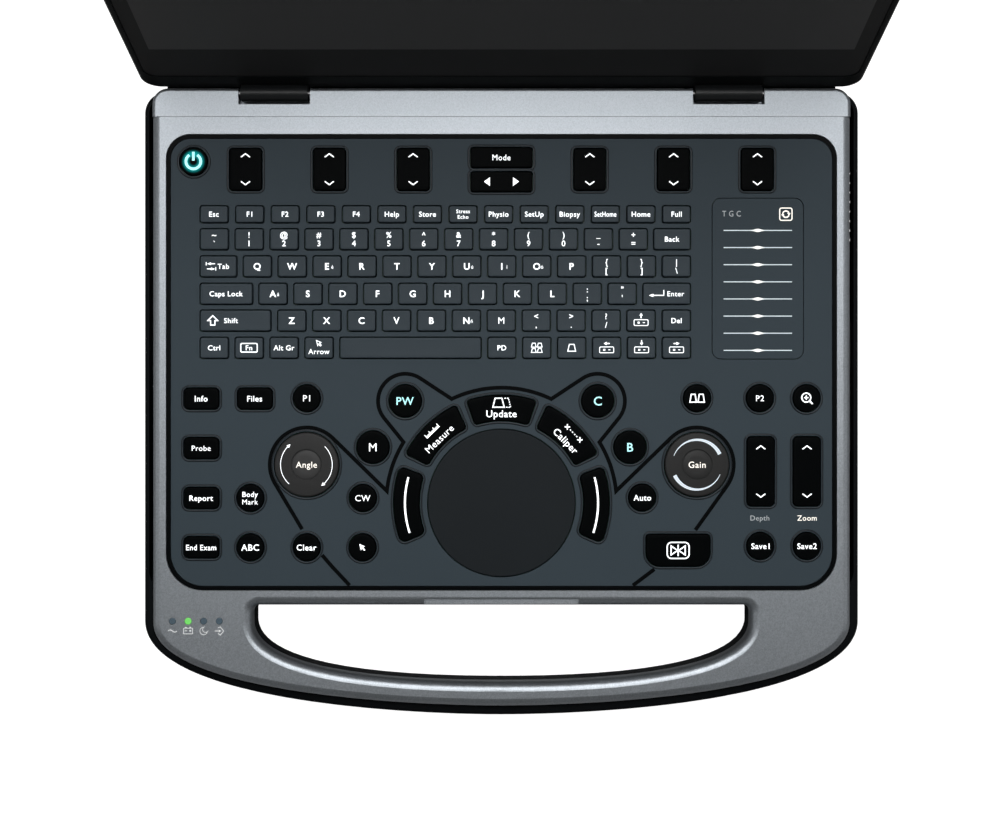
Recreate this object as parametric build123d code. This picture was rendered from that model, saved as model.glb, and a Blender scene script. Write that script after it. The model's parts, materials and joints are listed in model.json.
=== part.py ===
from build123d import *
import math
import os

# Laptop ultrasound scanner. Millimetres, +Z up, handle towards -Y, display lid towards +Y.
# On the base, x is measured to the right of the middle and d forward of the rear wall.

# ---- Driving dimensions ----
BASE_HALF = 184.4  # half the width over the lower shell's rim
BASE_DEPTH = 321.9  # rear wall to the tip of the handle
BASE_TOP = 46.0  # silver top face above the table
REAR_CORNER = 11.0  # radius of the rear corners
SIDE_END = 273.3  # where the straight sides turn into the front bow
RIM = 6.0  # how far the lower shell stands out past the silver cover
FOOT_HEIGHT = 4.0
SPLIT_Z = 36.0  # parting plane between lower shell and silver cover
WALL = 2.5
HANDLE_Z = 18.0  # underside of the handle
LEDGE, LEDGE_HALF = 4.5, 172.5  # the lower shell stands out behind, under the lid's edge
BODY_END = 259.0  # front wall of the lower shell, behind the handle
REAR_STRIP = 14.8  # parting line between rear cover and top cover
SLOT_HALF = 127.5  # half the width of the handle's slot
SLOT_TOP, SLOT_END = 264.2, 303.7
SLOT_ROLL = 4.5  # radius by which the silver cover rolls over into the slot

PANEL_HALF, PANEL_REAR, PANEL_FRONT = 171.3, 23.5, 256.6  # opening in the silver cover
PANEL_REAR_CORNER, PANEL_FRONT_CORNER = 12.5, 19.0
TRIM_WIDTH = 2.1
PANEL_TOP = BASE_TOP - 1.5
PANEL_THICK = 2.3
KEY_RISE = 1.2  # key tops above the panel
KEY_BOTTOM = PANEL_TOP - 2.9
BOARD_TOP = KEY_BOTTOM - 1.4  # leaves room for the keys' travel
BOARD = 1.6  # thickness of every circuit board
WINDOW_GAP = 0.4  # play between a key and its window
PIVOT_Z, PIVOT_RADIUS, PIVOT_STUB = PANEL_TOP - 1.0, 0.7, 0.3  # the rockers' pivots
LIP_WIDTH, LIP_RISE = 1.15, 0.45
DIAL_RISE = 2.0

HINGE_D, HINGE_DROP = 2.5, 2.4  # hinge axis: forward of the rear wall, below the top face
HINGE_X = 116.0
BARREL_LENGTH, BARREL_RADIUS = 34.2, 4.1
PIN_RADIUS, BORE_RADIUS = 1.25, 1.30
RECESS_HALF, RECESS_END = 18.3, 8.4
EAR_MID, EAR_THICK = 21.0, 2.6  # middle of each hinge ear from the middle of its barrel
EAR_PLAY = 0.3  # round the ears and the pin in the rear cover

LEAN = 14.5  # how far the open lid leans back past upright, degrees
LID_HALF, LID_LENGTH, LID_CORNER = 183.2, 261.5, 10.0  # the lid starts level with its axis
LID_DROP = 3.0  # the lid's front face lies this far behind the hinge axis
LID_THICK = 14.0
LID_ROUND = 4.0  # round on the lid's outer back edge
ACTIVE_W, ACTIVE_H = 344.0, 194.0  # 15.6 inch display
ACTIVE_START = 41.5  # hinge axis to the active area, along the lid

# The origin is under the middle of the whole object, so the rear wall's Y follows from
# how far the leaning lid reaches behind it.
HINGE_Z = BASE_TOP - HINGE_DROP
LID_TIP = LID_LENGTH - LID_ROUND
LID_REACH = (
    LID_TIP * math.sin(math.radians(LEAN))
    + (LID_DROP + LID_THICK - LID_ROUND) * math.cos(math.radians(LEAN))
    + LID_ROUND
    - HINGE_D
)
REAR_Y = (BASE_DEPTH - LID_REACH) / 2
TAU = 360.0


# ---- Helpers ----
def at(x, d, z=0.0):
    """Location x right of the middle, d forward of the rear wall, z above the table."""
    return Pos(x, REAR_Y - d, z)


def pt(x, d):
    return (x, REAR_Y - d)


def block(x0, x1, d0, d1, z0, z1, corner=0.0):
    """Upright block between two corners, with its upright edges rounded."""
    w, h = x1 - x0, d1 - d0
    face = RectangleRounded(w, h, corner) if corner else Rectangle(w, h)
    return extrude(at((x0 + x1) / 2, (d0 + d1) / 2, z0) * face, z1 - z0)


def round_top(solid, radius):
    return fillet(solid.edges().group_by(Axis.Z)[-1], radius)


def rod(x, d, z, radius, length):
    """Cylinder along X, centred on a point."""
    return at(x, d, z) * Rot(0, 90, 0) * Cylinder(radius, length)


def fused(solids):
    whole = solids[0]
    for other in solids[1:]:
        whole = whole + other
    return whole


# ---- Outlines ----
def base_outline(inset):
    """Base from above: straight sides, round rear corners, one long bow at the front."""
    half, tip, r = BASE_HALF - inset, BASE_DEPTH - inset, REAR_CORNER - inset / 2
    bend, flat = 41.8 - inset, 49.8
    edges = [Line(pt(half, r), pt(half, SIDE_END)), Line(pt(-half, SIDE_END), pt(-half, r))]
    for side in (1, -1):
        edges.append(
            Bezier(
                pt(side * half, SIDE_END),
                pt(side * half, SIDE_END + bend),
                pt(side * flat, tip),
                pt(0, tip),
            )
        )
        edges.append(
            RadiusArc(pt(side * half, r), pt(side * (half - r), 0), -side * r)
        )
    edges.append(Line(pt(half - r, 0), pt(r - half, 0)))
    return make_face(edges)


def slot_outline():
    """Handle slot: straight behind, bowed in front, with small rear corners."""
    r, knee = 3.5, 273.0
    edges = [Line(pt(r - SLOT_HALF, SLOT_TOP), pt(SLOT_HALF - r, SLOT_TOP))]
    for side in (1, -1):
        x = side * SLOT_HALF
        edges.append(
            RadiusArc(pt(x - side * r, SLOT_TOP), pt(x, SLOT_TOP + r), side * r)
        )
        edges.append(Line(pt(x, SLOT_TOP + r), pt(x, knee)))
        edges.append(
            Bezier(
                pt(x, knee), pt(x, knee + 13.5), pt(side * 107.0, SLOT_END), pt(0, SLOT_END)
            )
        )
    return make_face(edges)


def panel_outline(inset):
    """Opening for the control panel, with larger corners in front than behind."""
    half = PANEL_HALF - inset
    rear, front = PANEL_REAR + inset, PANEL_FRONT - inset
    face = at(0, (rear + front) / 2) * Rectangle(2 * half, front - rear)
    by_depth = face.vertices().group_by(Axis.Y)
    face = fillet(by_depth[0], PANEL_FRONT_CORNER - inset)
    by_depth = face.vertices().group_by(Axis.Y)
    return fillet(by_depth[-1], PANEL_REAR_CORNER - inset)


def rect_key(x0, x1, d0, d1, corner=1.2):
    """Outline of a rectangular key; call the result with how much to grow it."""

    def face(grow=0.0):
        shape = RectangleRounded(x1 - x0 + 2 * grow, d1 - d0 + 2 * grow, corner + grow)
        return at((x0 + x1) / 2, (d0 + d1) / 2) * shape

    return face


def centred_key(x, d, width, depth, corner):
    return rect_key(x - width / 2, x + width / 2, d - depth / 2, d + depth / 2, corner)


def disc_key(x, d, radius):
    def face(grow=0.0):
        return at(x, d) * Circle(radius + grow)

    return face


RING_X, RING_D = 0.0, 211.9  # centre of the touchpad and of the ring keys round it
RING_IN, RING_OUT = 42.0, 55.2


def ring_key(start, end, corner=2.0):
    """Outline of a ring key between two angles, in degrees clockwise from the rear."""

    def face(grow=0.0):
        spread = math.degrees(grow / ((RING_IN + RING_OUT) / 2))
        a0, a1 = 90 - end - spread, 90 - start + spread
        inner, outer = RING_IN - grow, RING_OUT + grow
        edges = [
            CenterArc((0, 0), inner, a0, a1 - a0),
            CenterArc((0, 0), outer, a0, a1 - a0),
        ]
        for angle in (math.radians(a0), math.radians(a1)):
            c, s = math.cos(angle), math.sin(angle)
            edges.append(Line((inner * c, inner * s), (outer * c, outer * s)))
        sector = make_face(edges)
        return at(RING_X, RING_D) * fillet(sector.vertices(), corner + grow)

    return face


def freeze_outline(grow=0.0):
    """Wide key with two small rear corners and two large front ones."""
    face = at(90.2, 236.1) * Rectangle(32.8 + 2 * grow, 16.5 + 2 * grow)
    face = fillet(face.vertices().group_by(Axis.Y)[0], 7.0 + grow)
    return fillet(face.vertices().group_by(Axis.Y)[-1], 2.0 + grow)


# ---- Layout of the control panel ----
ROW_LEFT, ROW_RIGHT = -154.2, 96.8
PITCH, KEY_W, KEY_H = 17.84, 14.95, 11.3
FUNCTION_PITCH, FUNCTION_W, FUNCTION_H = 18.17, 14.8, 9.2
KEY_INSET = 0.22  # drawn in on every side
ROW_D = {"number": 71.5, "top": 85.4, "home": 99.4, "low": 113.1, "bottom": 127.0}


def run(first, count, d, width=KEY_W, height=KEY_H, pitch=PITCH):
    """A run of like keys from left to right."""
    return [wide(first + i * pitch, first + i * pitch + width, d, height) for i in range(count)]


def wide(x0, x1, d, height=KEY_H):
    """A key of any width, drawn in a little on every side."""
    return rect_key(
        x0 + KEY_INSET, x1 - KEY_INSET, d + KEY_INSET, d + height - KEY_INSET
    )


def keyboard():
    """Key outlines by row."""
    num, top, home = ROW_D["number"], ROW_D["top"], ROW_D["home"]
    low, bottom = ROW_D["low"], ROW_D["bottom"]
    return {
        "function_keys": run(ROW_LEFT, 14, 59.8, FUNCTION_W, FUNCTION_H, FUNCTION_PITCH),
        "number_keys": run(ROW_LEFT, 13, num) + [wide(77.5, ROW_RIGHT, num)],
        "top_letter_keys": [wide(ROW_LEFT, -135.0, top)] + run(-132.2, 13, top),
        "home_letter_keys": [wide(ROW_LEFT, -126.9, home)]
        + run(-124.2, 11, home)
        + [wide(72.0, ROW_RIGHT, home)],
        "low_letter_keys": [wide(ROW_LEFT, -117.6, low)]
        + run(-114.6, 11, low)
        + [wide(81.9, ROW_RIGHT, low)],
        "bottom_row_keys": run(ROW_LEFT, 4, bottom) + run(-7.3, 6, bottom),
        "space_bar": [wide(-82.8, -10.1, bottom)],
    }


SOFT_X, SOFT_D = (-130.7, -87.9, -45.1, 45.1, 87.9, 130.7), 41.5
DIAL_RADIUS, DIAL_CAP = 16.6, 7.2
ANGLE_AT, GAIN_AT = (-99.5, 192.3), (99.8, 192.3)
ROCKER_D = 195.8
SMALL, LARGE = 7.0, 8.4  # radii of the round keys
PAD_RADIUS = 37.7
TGC_OUTLINE = rect_key(107.9, 154.2, 56.3, 138.2, 4.4)  # gain strip


def push_buttons():
    """Outlines of the keys that travel straight down, by node."""
    pill = {"width": 18.0, "depth": 11.0, "corner": 2.6}
    return {
        "power_button": [disc_key(-157.3, 37.5, 7.2)],
        "mode_key": [rect_key(-15.85, 15.85, 30.2, 40.7, 1.6)],
        "update_key": [ring_key(-19, 19)],
        "measure_key": [ring_key(-63, -25)],
        "caliper_key": [ring_key(25, 63)],
        "left_set_key": [ring_key(-111.8, -70.3, 3.0)],
        "right_set_key": [ring_key(70.3, 111.8, 3.0)],
        "freeze_key": [freeze_outline],
        "scan_mode_keys": [
            disc_key(x, d, LARGE)
            for x, d in ((-65.7, 183.4), (65.7, 183.4), (-49.2, 159.8), (49.2, 159.8))
        ],
        "pill_keys": [
            centred_key(x, d, **pill)
            for x, d in (
                (-153.3, 158.6),
                (-126.0, 158.6),
                (-153.3, 183.9),
                (-153.3, 209.4),
                (-153.3, 234.6),
            )
        ],
        "left_round_keys": [
            disc_key(x, d, SMALL)
            for x, d in (
                (-99.5, 158.4),
                (-128.3, 209.4),
                (-128.3, 234.6),
                (-99.5, 234.6),
                (-71.0, 234.6),
                (-70.8, 209.4),
            )
        ],
        "right_round_keys": [
            disc_key(x, d, SMALL)
            for x, d in (
                (71.9, 209.2),
                (99.9, 158.4),
                (132.0, 158.4),
                (155.9, 158.4),
                (132.2, 233.9),
                (156.0, 233.9),
            )
        ],
    }


def rocker_buttons():
    """Outlines of the keys that tip about a middle axis, by node."""
    rockers = {
        f"soft_rocker_{i + 1}": [centred_key(x, SOFT_D, 16.6, 21.6, 1.8)]
        for i, x in enumerate(SOFT_X)
    }
    rockers["mode_rocker"] = [rect_key(-15.85, 15.85, 42.6, 53.0, 1.6)]
    rockers["depth_rocker"] = [centred_key(132.4, ROCKER_D, 14.1, 35.6, 2.4)]
    rockers["zoom_rocker"] = [centred_key(156.0, ROCKER_D, 14.1, 35.6, 2.4)]
    return rockers


def caps(outlines):
    """Caps on the given outlines."""
    height = PANEL_TOP + KEY_RISE - KEY_BOTTOM
    return [extrude(Pos(0, 0, KEY_BOTTOM) * face(), height) for face in outlines]


def rocker(outline, turn=0):
    """Cap with a short pivot stub in each side, across X or turned by an angle."""
    cap = caps([outline])[0]
    middle = cap.bounding_box().center()
    size = cap.bounding_box().size
    span = size.Y if turn else size.X
    pivot = Rot(0, 90, 0) * Cylinder(PIVOT_RADIUS, span + 2 * PIVOT_STUB)
    return cap + Pos(middle.X, middle.Y, PIVOT_Z) * Rot(0, 0, turn) * pivot


def dial(place):
    """Flat knob with a groove round its centre cap and a short spindle below."""
    height = PANEL_TOP + DIAL_RISE - KEY_BOTTOM
    knob = round_top(extrude(at(*place, KEY_BOTTOM) * Circle(DIAL_RADIUS), height), 1.2)
    groove = Circle(DIAL_CAP + 0.6) - Circle(DIAL_CAP)
    return knob - extrude(at(*place, PANEL_TOP + DIAL_RISE - 0.5) * groove, 1)


def control_panel():
    """Slate plate with a window for every key and a raised lip round the black ones."""
    plate = extrude(
        Pos(0, 0, PANEL_TOP - PANEL_THICK) * panel_outline(TRIM_WIDTH + 0.2), PANEL_THICK
    )
    lipped = [f for g in (push_buttons(), rocker_buttons()) for fs in g.values() for f in fs]
    lipped += [disc_key(*ANGLE_AT, DIAL_RADIUS), disc_key(*GAIN_AT, DIAL_RADIUS)]
    lips = Sketch() + [face(LIP_WIDTH) for face in lipped]
    plate += extrude(Pos(0, 0, PANEL_TOP - 0.5) * lips, 0.5 + LIP_RISE)
    windowed = lipped + [f for fs in keyboard().values() for f in fs]
    windowed.append(disc_key(RING_X, RING_D, PAD_RADIUS))
    windowed.append(TGC_OUTLINE)
    holes = Sketch() + [face(WINDOW_GAP) for face in windowed]
    return plate - extrude(Pos(0, 0, PANEL_TOP - PANEL_THICK - 1) * holes, PANEL_THICK + 3)


def panel_trim():
    """Black ring between the silver cover and the panel."""
    ring = panel_outline(0.15) - panel_outline(TRIM_WIDTH)
    return extrude(Pos(0, 0, BOARD_TOP) * ring, BASE_TOP - 0.9 - BOARD_TOP)


def touchpad():
    height = PANEL_TOP + 0.1 - KEY_BOTTOM
    return round_top(extrude(at(RING_X, RING_D, KEY_BOTTOM) * Circle(PAD_RADIUS), height), 0.5)


def tgc_strip():
    return extrude(Pos(0, 0, KEY_BOTTOM) * TGC_OUTLINE(), PANEL_TOP - KEY_BOTTOM)


def key_board():
    """Circuit board under the whole panel, which carries the key switches."""
    return extrude(Pos(0, 0, BOARD_TOP - BOARD) * panel_outline(3.0), BOARD)


# ---- Base shells ----
LED_D, LED_RADIUS = 272.2, 1.7
LED_X = [-167.9 + 7.95 * i for i in range(4)]
SCREW_AT = [(x, d) for x in (-100.0, 0.0, 100.0) for d in (14.0, 246.0)]
SCREW_HEAD, SCREW_DEPTH = 3.0, 1.8
SCOOP_HALF = 39.4


def slot_edges(edges):
    """Those of the edges that run round the sides and the front of the handle's slot."""
    low, high = REAR_Y - SLOT_END - 1, REAR_Y - SLOT_TOP - 4
    return [e for e in edges if abs(e.center().X) < SLOT_HALF + 2 and low < e.center().Y < high]


def top_cover():
    """Silver frame round the panel, in one piece with the handle's upper half."""
    face = base_outline(RIM) & (at(0, REAR_STRIP + 200) * Rectangle(400, 400))
    cover = extrude(Pos(0, 0, SPLIT_Z) * face, BASE_TOP - SPLIT_Z)
    top_edges = cover.edges().group_by(Axis.Z)[-1]
    cover = fillet([e for e in top_edges if e.center().Y < REAR_Y - REAR_STRIP - 5], 4.0)
    cover -= extrude(Pos(0, 0, SPLIT_Z - 1) * slot_outline(), 20)
    cover = fillet(slot_edges(cover.edges().group_by(Axis.Z)[-1]), SLOT_ROLL)
    cover -= extrude(Pos(0, 0, SPLIT_Z - 1) * panel_outline(0), 20)
    scoop_d = (SLOT_TOP - 3.6, SLOT_TOP + 1)
    cover -= block(-SCOOP_HALF, SCOOP_HALF, *scoop_d, BASE_TOP - 2.2, BASE_TOP + 1)
    for x in LED_X:
        cover -= at(x, LED_D, BASE_TOP) * Cylinder(LED_RADIUS + 0.1, 6)
    return cover


def rear_cover():
    """Silver strip before the hinges, open to the rear round both barrels."""
    face = base_outline(RIM) & (at(0, REAR_STRIP / 2 - 0.2) * Rectangle(400, REAR_STRIP))
    strip = extrude(Pos(0, 0, SPLIT_Z) * face, BASE_TOP - SPLIT_Z)
    rear = [e for e in strip.edges().group_by(Axis.Z)[-1] if e.center().Y > REAR_Y - 8]
    strip = fillet(rear, 1.8)
    for side in (1, -1):
        x = side * HINGE_X
        strip -= block(
            x - RECESS_HALF, x + RECESS_HALF, -1, RECESS_END, HINGE_Z - 6.6, BASE_TOP + 1
        )
        for ear in (1, -1):
            mid, half = x + ear * EAR_MID, EAR_THICK / 2 + EAR_PLAY
            strip -= block(mid - half, mid + half, -1, 12.2, SPLIT_Z - 1, BASE_TOP - 0.9)
        strip -= rod(x, HINGE_D, HINGE_Z, PIN_RADIUS + EAR_PLAY, 2 * EAR_MID)
    return strip


def hinge_brackets():
    """Fixed half of both hinges: a foot plate with two ears and the pin between them."""
    solids = []
    for side in (1, -1):
        x = side * HINGE_X
        span = EAR_MID + EAR_THICK / 2
        foot = block(x - span, x + span, WALL + 0.3, 26.0, SPLIT_Z - 2.2, SPLIT_Z - 0.2)
        ears = [
            block(mid - EAR_THICK / 2, mid + EAR_THICK / 2, d0, 12, z0, z1)
            for mid in (x + EAR_MID, x - EAR_MID)
            for d0, z0, z1 in (
                (0.5, SPLIT_Z + 0.1, BASE_TOP - 1.1),
                (WALL + 0.3, SPLIT_Z - 0.3, SPLIT_Z + 0.2),
            )
        ]
        pin = rod(x, HINGE_D, HINGE_Z, PIN_RADIUS, 2 * span)
        solids.append(fused([foot] + ears + [pin]))
    return solids


# Side and rear sockets: middle across, low and high edge of each window in the shell
PORT_Z, PORT_MID_Z = (13.0, 28.0), 20.5
PROBE_D = (118.0, 186.0)
PROBE_SPLIT = 170.0  # d between the probe socket's mouth and the lock's track
IO_PORTS = [  # middle d, opening depth along the wall, opening height
    (70.0, 13.6, 5.8),
    (92.0, 13.6, 5.8),
    (116.0, 13.0, 9.0),
    (140.0, 16.0, 5.8),
]
INLET_X, INLET_Z, INLET_HALF = -148.0, 21.0, 7.9
BATTERY_DOOR = (-160.0, -20.0, 24.0, 96.0)  # x from and to, d from and to
VENT_X = [104.0 + 5.0 * i for i in range(12)]
SIDE_VENT_D = [40.0 + 5.0 * i for i in range(8)]
VENT_HALF = 1.2
BOSS_RADIUS = 4.0
BOSS_AT = [(x, 104.0) for x in (-150.0, -60.0, 60.0, 150.0)]
BOSS_AT += [(x, 249.0) for x in (-150.0, 0.0, 150.0)]


def lower_outline(inset, front):
    """Footprint of the body behind the handle."""
    half = BASE_HALF - inset
    corner = REAR_CORNER - min(inset, 4.0)
    mid = (inset + front) / 2
    return at(0, mid) * RectangleRounded(2 * half, front - inset, corner)


def bottom_cover():
    """Dark lower shell: a tray for the electronics and the lower half of the handle."""
    tray = extrude(Pos(0, 0, FOOT_HEIGHT) * lower_outline(0, BODY_END), 24.0)
    tray = fillet(tray.edges().group_by(Axis.Z)[0], 7.0)
    upper = extrude(Pos(0, 0, HANDLE_Z) * base_outline(0), SPLIT_Z - HANDLE_Z)
    low_edges = upper.edges().group_by(Axis.Z)[0]
    upper = fillet([e for e in low_edges if e.center().Y < REAR_Y - SIDE_END], 8.0)
    upper = round_top(upper, 1.8)
    slot = extrude(Pos(0, 0, HANDLE_Z - 2) * slot_outline(), SPLIT_Z - HANDLE_Z + 4)
    upper -= slot
    upper = fillet(slot_edges(upper.edges().group_by(Axis.Z)[0]), 5.0)
    ledge = block(-LEDGE_HALF, LEDGE_HALF, -LEDGE, 3.0, FOOT_HEIGHT + 8, SPLIT_Z)
    ledge = fillet([e for e in ledge.edges() if e.center().Y > REAR_Y + LEDGE - 0.1], 1.5)
    shell = tray + upper + ledge
    floor_z = FOOT_HEIGHT + WALL
    inside = Pos(0, 0, floor_z) * lower_outline(WALL, BODY_END - WALL)
    shell = shell - extrude(inside, SPLIT_Z - floor_z + 1) + bosses()
    for cut in shell_windows():
        shell -= cut
    return shell


def bosses():
    """Posts from the floor up to the key board."""
    floor_z = FOOT_HEIGHT + WALL - 0.5
    top = BOARD_TOP - BOARD
    middle, height = (floor_z + top) / 2, top - floor_z
    return fused([at(x, d, middle) * Cylinder(BOSS_RADIUS, height) for x, d in BOSS_AT])


def shell_windows():
    """Openings in the lower shell for the sockets, the battery door and the air."""
    inlet = INLET_HALF + 0.3
    cuts = [
        block(BASE_HALF - 12, BASE_HALF + 2, *PROBE_D, *PORT_Z),
        block(-BASE_HALF - 2, -BASE_HALF + 12, 58.0, 152.0, 14.0, 27.0),
        block(INLET_X - inlet, INLET_X + inlet, -LEDGE - 1, 6, INLET_Z - inlet, INLET_Z + inlet),
        block(*BATTERY_DOOR, FOOT_HEIGHT - 1, FOOT_HEIGHT + WALL + 1),
    ]
    cuts += [
        block(x - VENT_HALF, x + VENT_HALF, -LEDGE - 1, 6, 14.0, 28.0) for x in VENT_X
    ]
    cuts += [at(x, d, FOOT_HEIGHT) * Cylinder(SCREW_HEAD, 2 * SCREW_DEPTH) for x, d in SCREW_AT]
    cuts += [
        block(BASE_HALF - 12, BASE_HALF + 2, d - VENT_HALF, d + VENT_HALF, 14.0, 27.0)
        for d in SIDE_VENT_D
    ]
    return cuts


def battery_door():
    x0, x1, d0, d1 = BATTERY_DOOR
    return block(x0 + 0.3, x1 - 0.3, d0 + 0.3, d1 - 0.3, FOOT_HEIGHT, FOOT_HEIGHT + WALL)


def feet():
    foot = round_top(Cylinder(9.0, FOOT_HEIGHT), 1.0)
    turned = Pos(0, 0, FOOT_HEIGHT / 2) * Rot(180, 0, 0)
    return [foot.moved(at(x, d) * turned) for x in (-150.0, 150.0) for d in (18.0, 240.0)]


def shell_screws():
    """Screws from below, their heads sunk into the shell's floor."""
    z = FOOT_HEIGHT + SCREW_DEPTH / 2
    return [at(x, d, z) * Cylinder(SCREW_HEAD, SCREW_DEPTH) for x, d in SCREW_AT]


def led_lenses():
    lens = round_top(Cylinder(LED_RADIUS, 2.9), 0.3)
    return [lens.moved(at(x, LED_D, BASE_TOP - 1.35)) for x in LED_X]


# ---- Inside the base ----
def battery():
    x0, x1, d0, d1 = BATTERY_DOOR
    z0 = FOOT_HEIGHT + WALL + 0.4
    return block(x0 + 2, x1 - 2, d0 + 2, d1 - 2, z0, z0 + 20.0, 3.0)


def main_board():
    """Processor board with its larger chips and connectors."""
    board = block(-10.0, 96.0, 20.0, 98.0, 11.0, 11.0 + BOARD)
    chips = [
        block(x, x + w, d, d + h, 12.5, 12.5 + t)
        for x, w, d, h, t in (
            (0.0, 14.0, 30.0, 14.0, 1.6),
            (0.0, 14.0, 52.0, 14.0, 1.6),
            (2.0, 30.0, 84.0, 6.0, 5.0),
            (38.0, 34.0, 84.0, 6.0, 5.0),
        )
    ]
    at_corners = [(x, d) for x in (-9.0, 90.0) for d in (21.0, 92.0)]
    legs = [block(x, x + 5, d, d + 5, 6.6, 11.1) for x, d in at_corners]
    return fused([board] + chips + legs)


def heat_sink():
    """Finned block on the processor."""
    base = block(24.0, 84.0, 26.0, 76.0, 12.8, 16.0)
    fins = [block(24.0 + 5.0 * i, 26.0 + 5.0 * i, 26.0, 76.0, 15.9, 30.0) for i in range(12)]
    return fused([base] + fins)


FAN_X, FAN_D, FAN_RADIUS = 132.0, 44.0, 22.0


def fan_housing():
    """Blower housing with an inlet above and an outlet to the rear wall."""
    outer = block(FAN_X - 28, FAN_X + 28, 4.0, FAN_D + 28, 8.0, 30.0, 4.0)
    room = at(FAN_X, FAN_D, 19.0) * Cylinder(25.0, 18.0)
    duct = block(FAN_X - 24, FAN_X + 24, 2.0, FAN_D, 10.0, 28.0)
    inlet = at(FAN_X, FAN_D, 29.0) * Cylinder(17.0, 6.0)
    return outer - room - duct - inlet


def fan_rotor():
    hub = at(FAN_X, FAN_D, 18.5) * Cylinder(9.0, 15.0)
    blades = []
    for i in range(11):
        blade = Pos(15.0, 0, 0) * Rot(0, 0, 25) * Box(13.5, 1.4, 14.0)
        blades.append(at(FAN_X, FAN_D, 18.5) * Rot(0, 0, i * TAU / 11) * blade)
    return fused([hub] + blades)


def beamformer_board():
    """Board with the transmit and receive circuits under a screening can."""
    board = block(-120.0, 100.0, 112.0, 236.0, 11.0, 11.0 + BOARD)
    can = block(-110.0, 60.0, 120.0, 228.0, 12.5, 22.0, 2.0)
    at_corners = [(x, d) for x in (-118.0, 92.0) for d in (114.0, 228.0)]
    legs = [block(x, x + 6, d, d + 6, 6.6, 11.1) for x, d in at_corners]
    return fused([board, can] + legs)


def data_drive():
    return block(-172.0, -128.0, 170.0, 240.0, 6.6, 13.6, 1.5)


def speakers():
    """Two small drivers behind the front wall."""
    solids = []
    for x in (-152.0, 152.0):
        body = block(x - 17, x + 17, 243.5 - 30, 243.5, 16.0, 24.0, 3.0)
        cone = at(x, 228.5, 24.0) * Cylinder(11.0, 3.0)
        solids.append(body + cone)
    return solids


def probe_socket():
    """Socket for a transducer's connector, with its contact block at the back."""
    d0, d1 = PROBE_D
    z0, z1 = PORT_Z
    body = block(150.0, BASE_HALF - 0.6, d0 + 0.3, d1 - 0.3, z0 + 0.3, z1 - 0.3)
    mouth = block(158.0, BASE_HALF + 1, d0 + 3, PROBE_SPLIT - 2, z0 + 2, z1 - 2)
    track = block(174.0, BASE_HALF + 1, PROBE_SPLIT + 1, d1 - 2.5, z0 + 3, z1 - 3)
    contacts = block(156.0, 164.0, d0 + 8, PROBE_SPLIT - 7, z0 + 5.5, z1 - 5.5)
    return body - mouth - track + contacts


def probe_lock():
    """Thumb slide beside the socket that locks the connector."""
    z0, z1 = PORT_Z
    d0 = PROBE_SPLIT + 1.4
    slide = block(174.4, 178.2, d0, d0 + 7.0, z0 + 3.3, z1 - 3.3)
    grip = block(178.1, BASE_HALF - 0.8, d0 + 1.5, d0 + 5.5, z0 + 3.8, z1 - 3.8)
    return slide + grip


def power_inlet():
    """Round socket in the rear ledge for the mains adapter, with a centre contact."""
    x0, x1 = INLET_X - INLET_HALF, INLET_X + INLET_HALF
    body = block(x0, x1, 0.5 - LEDGE, 18.0, INLET_Z - INLET_HALF, INLET_Z + INLET_HALF)
    depth = 15.0 + LEDGE
    hole = at(INLET_X, 15.0 - depth / 2, INLET_Z) * Rot(90, 0, 0) * Cylinder(5.5, depth)
    contact = at(INLET_X, 14.0, INLET_Z) * Rot(90, 0, 0) * Cylinder(1.2, 5.0)
    return body - hole + contact


def io_ports():
    """Data sockets side by side in the left wall."""
    solids = []
    edge = -BASE_HALF + 0.6
    for mid, depth, height in IO_PORTS:
        d0, d1 = mid - depth / 2, mid + depth / 2
        body = block(edge, edge + 20, d0 - 1.4, d1 + 1.4, 14.4, 26.6)
        z0, z1 = PORT_MID_Z - height / 2, PORT_MID_Z + height / 2
        solids.append(body - block(edge - 1, edge + 15, d0, d1, z0, z1))
    return solids


def port_plate():
    """Dark plate that fills the left wall's window between the sockets."""
    edge = -BASE_HALF + 1.0
    plate = block(edge, edge + 3.0, 58.3, 151.7, 14.3, 26.7)
    for mid, depth, height in IO_PORTS:
        half = depth / 2 + 1.6
        plate -= block(edge - 1, edge + 5, mid - half, mid + half, 14.0, 27.0)
    return plate


# ---- Lid, drawn lying on its back: y runs from the hinge axis to the lid's free edge and
# z stands off the screen. LID turns it up to its resting lean. ----
LID = Pos(0, REAR_Y - HINGE_D, HINGE_Z) * Rot(90 - LEAN, 0, 0)
LID_FRONT = -LID_DROP
LID_BACK = -LID_DROP - LID_THICK
BARREL_NOTCH = 4.7  # depth of the lid's notch round each barrel, from its lower edge
FRAME_THICK = 2.6
CHIN = 13.0
BORDER = 3.6
GLASS_SINK = 0.5


def slab(x0, x1, y0, y1, z0, z1, corner=0.0):
    w, h = x1 - x0, y1 - y0
    face = RectangleRounded(w, h, corner) if corner else Rectangle(w, h)
    return extrude(Pos((x0 + x1) / 2, (y0 + y1) / 2, z0) * face, z1 - z0)


def lid_back_cover():
    """Shallow tray with a rounded back edge, notched for the hinge arms."""
    top = LID_FRONT - FRAME_THICK - 0.1
    tray = slab(-LID_HALF, LID_HALF, 0, LID_LENGTH, LID_BACK, top, LID_CORNER)
    tray = fillet(tray.edges().group_by(Axis.Z)[0], LID_ROUND)
    inner = LID_HALF - 2.4
    tray -= slab(-inner, inner, 2.4, LID_LENGTH - 2.4, LID_BACK + 2.4, top + 1, 7.6)
    for side in (1, -1):
        x = side * HINGE_X
        half = BARREL_LENGTH / 2 + 0.3
        tray -= slab(x - half, x + half, -1, BARREL_NOTCH, -11.0, top + 1)
    return LID * tray


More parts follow.
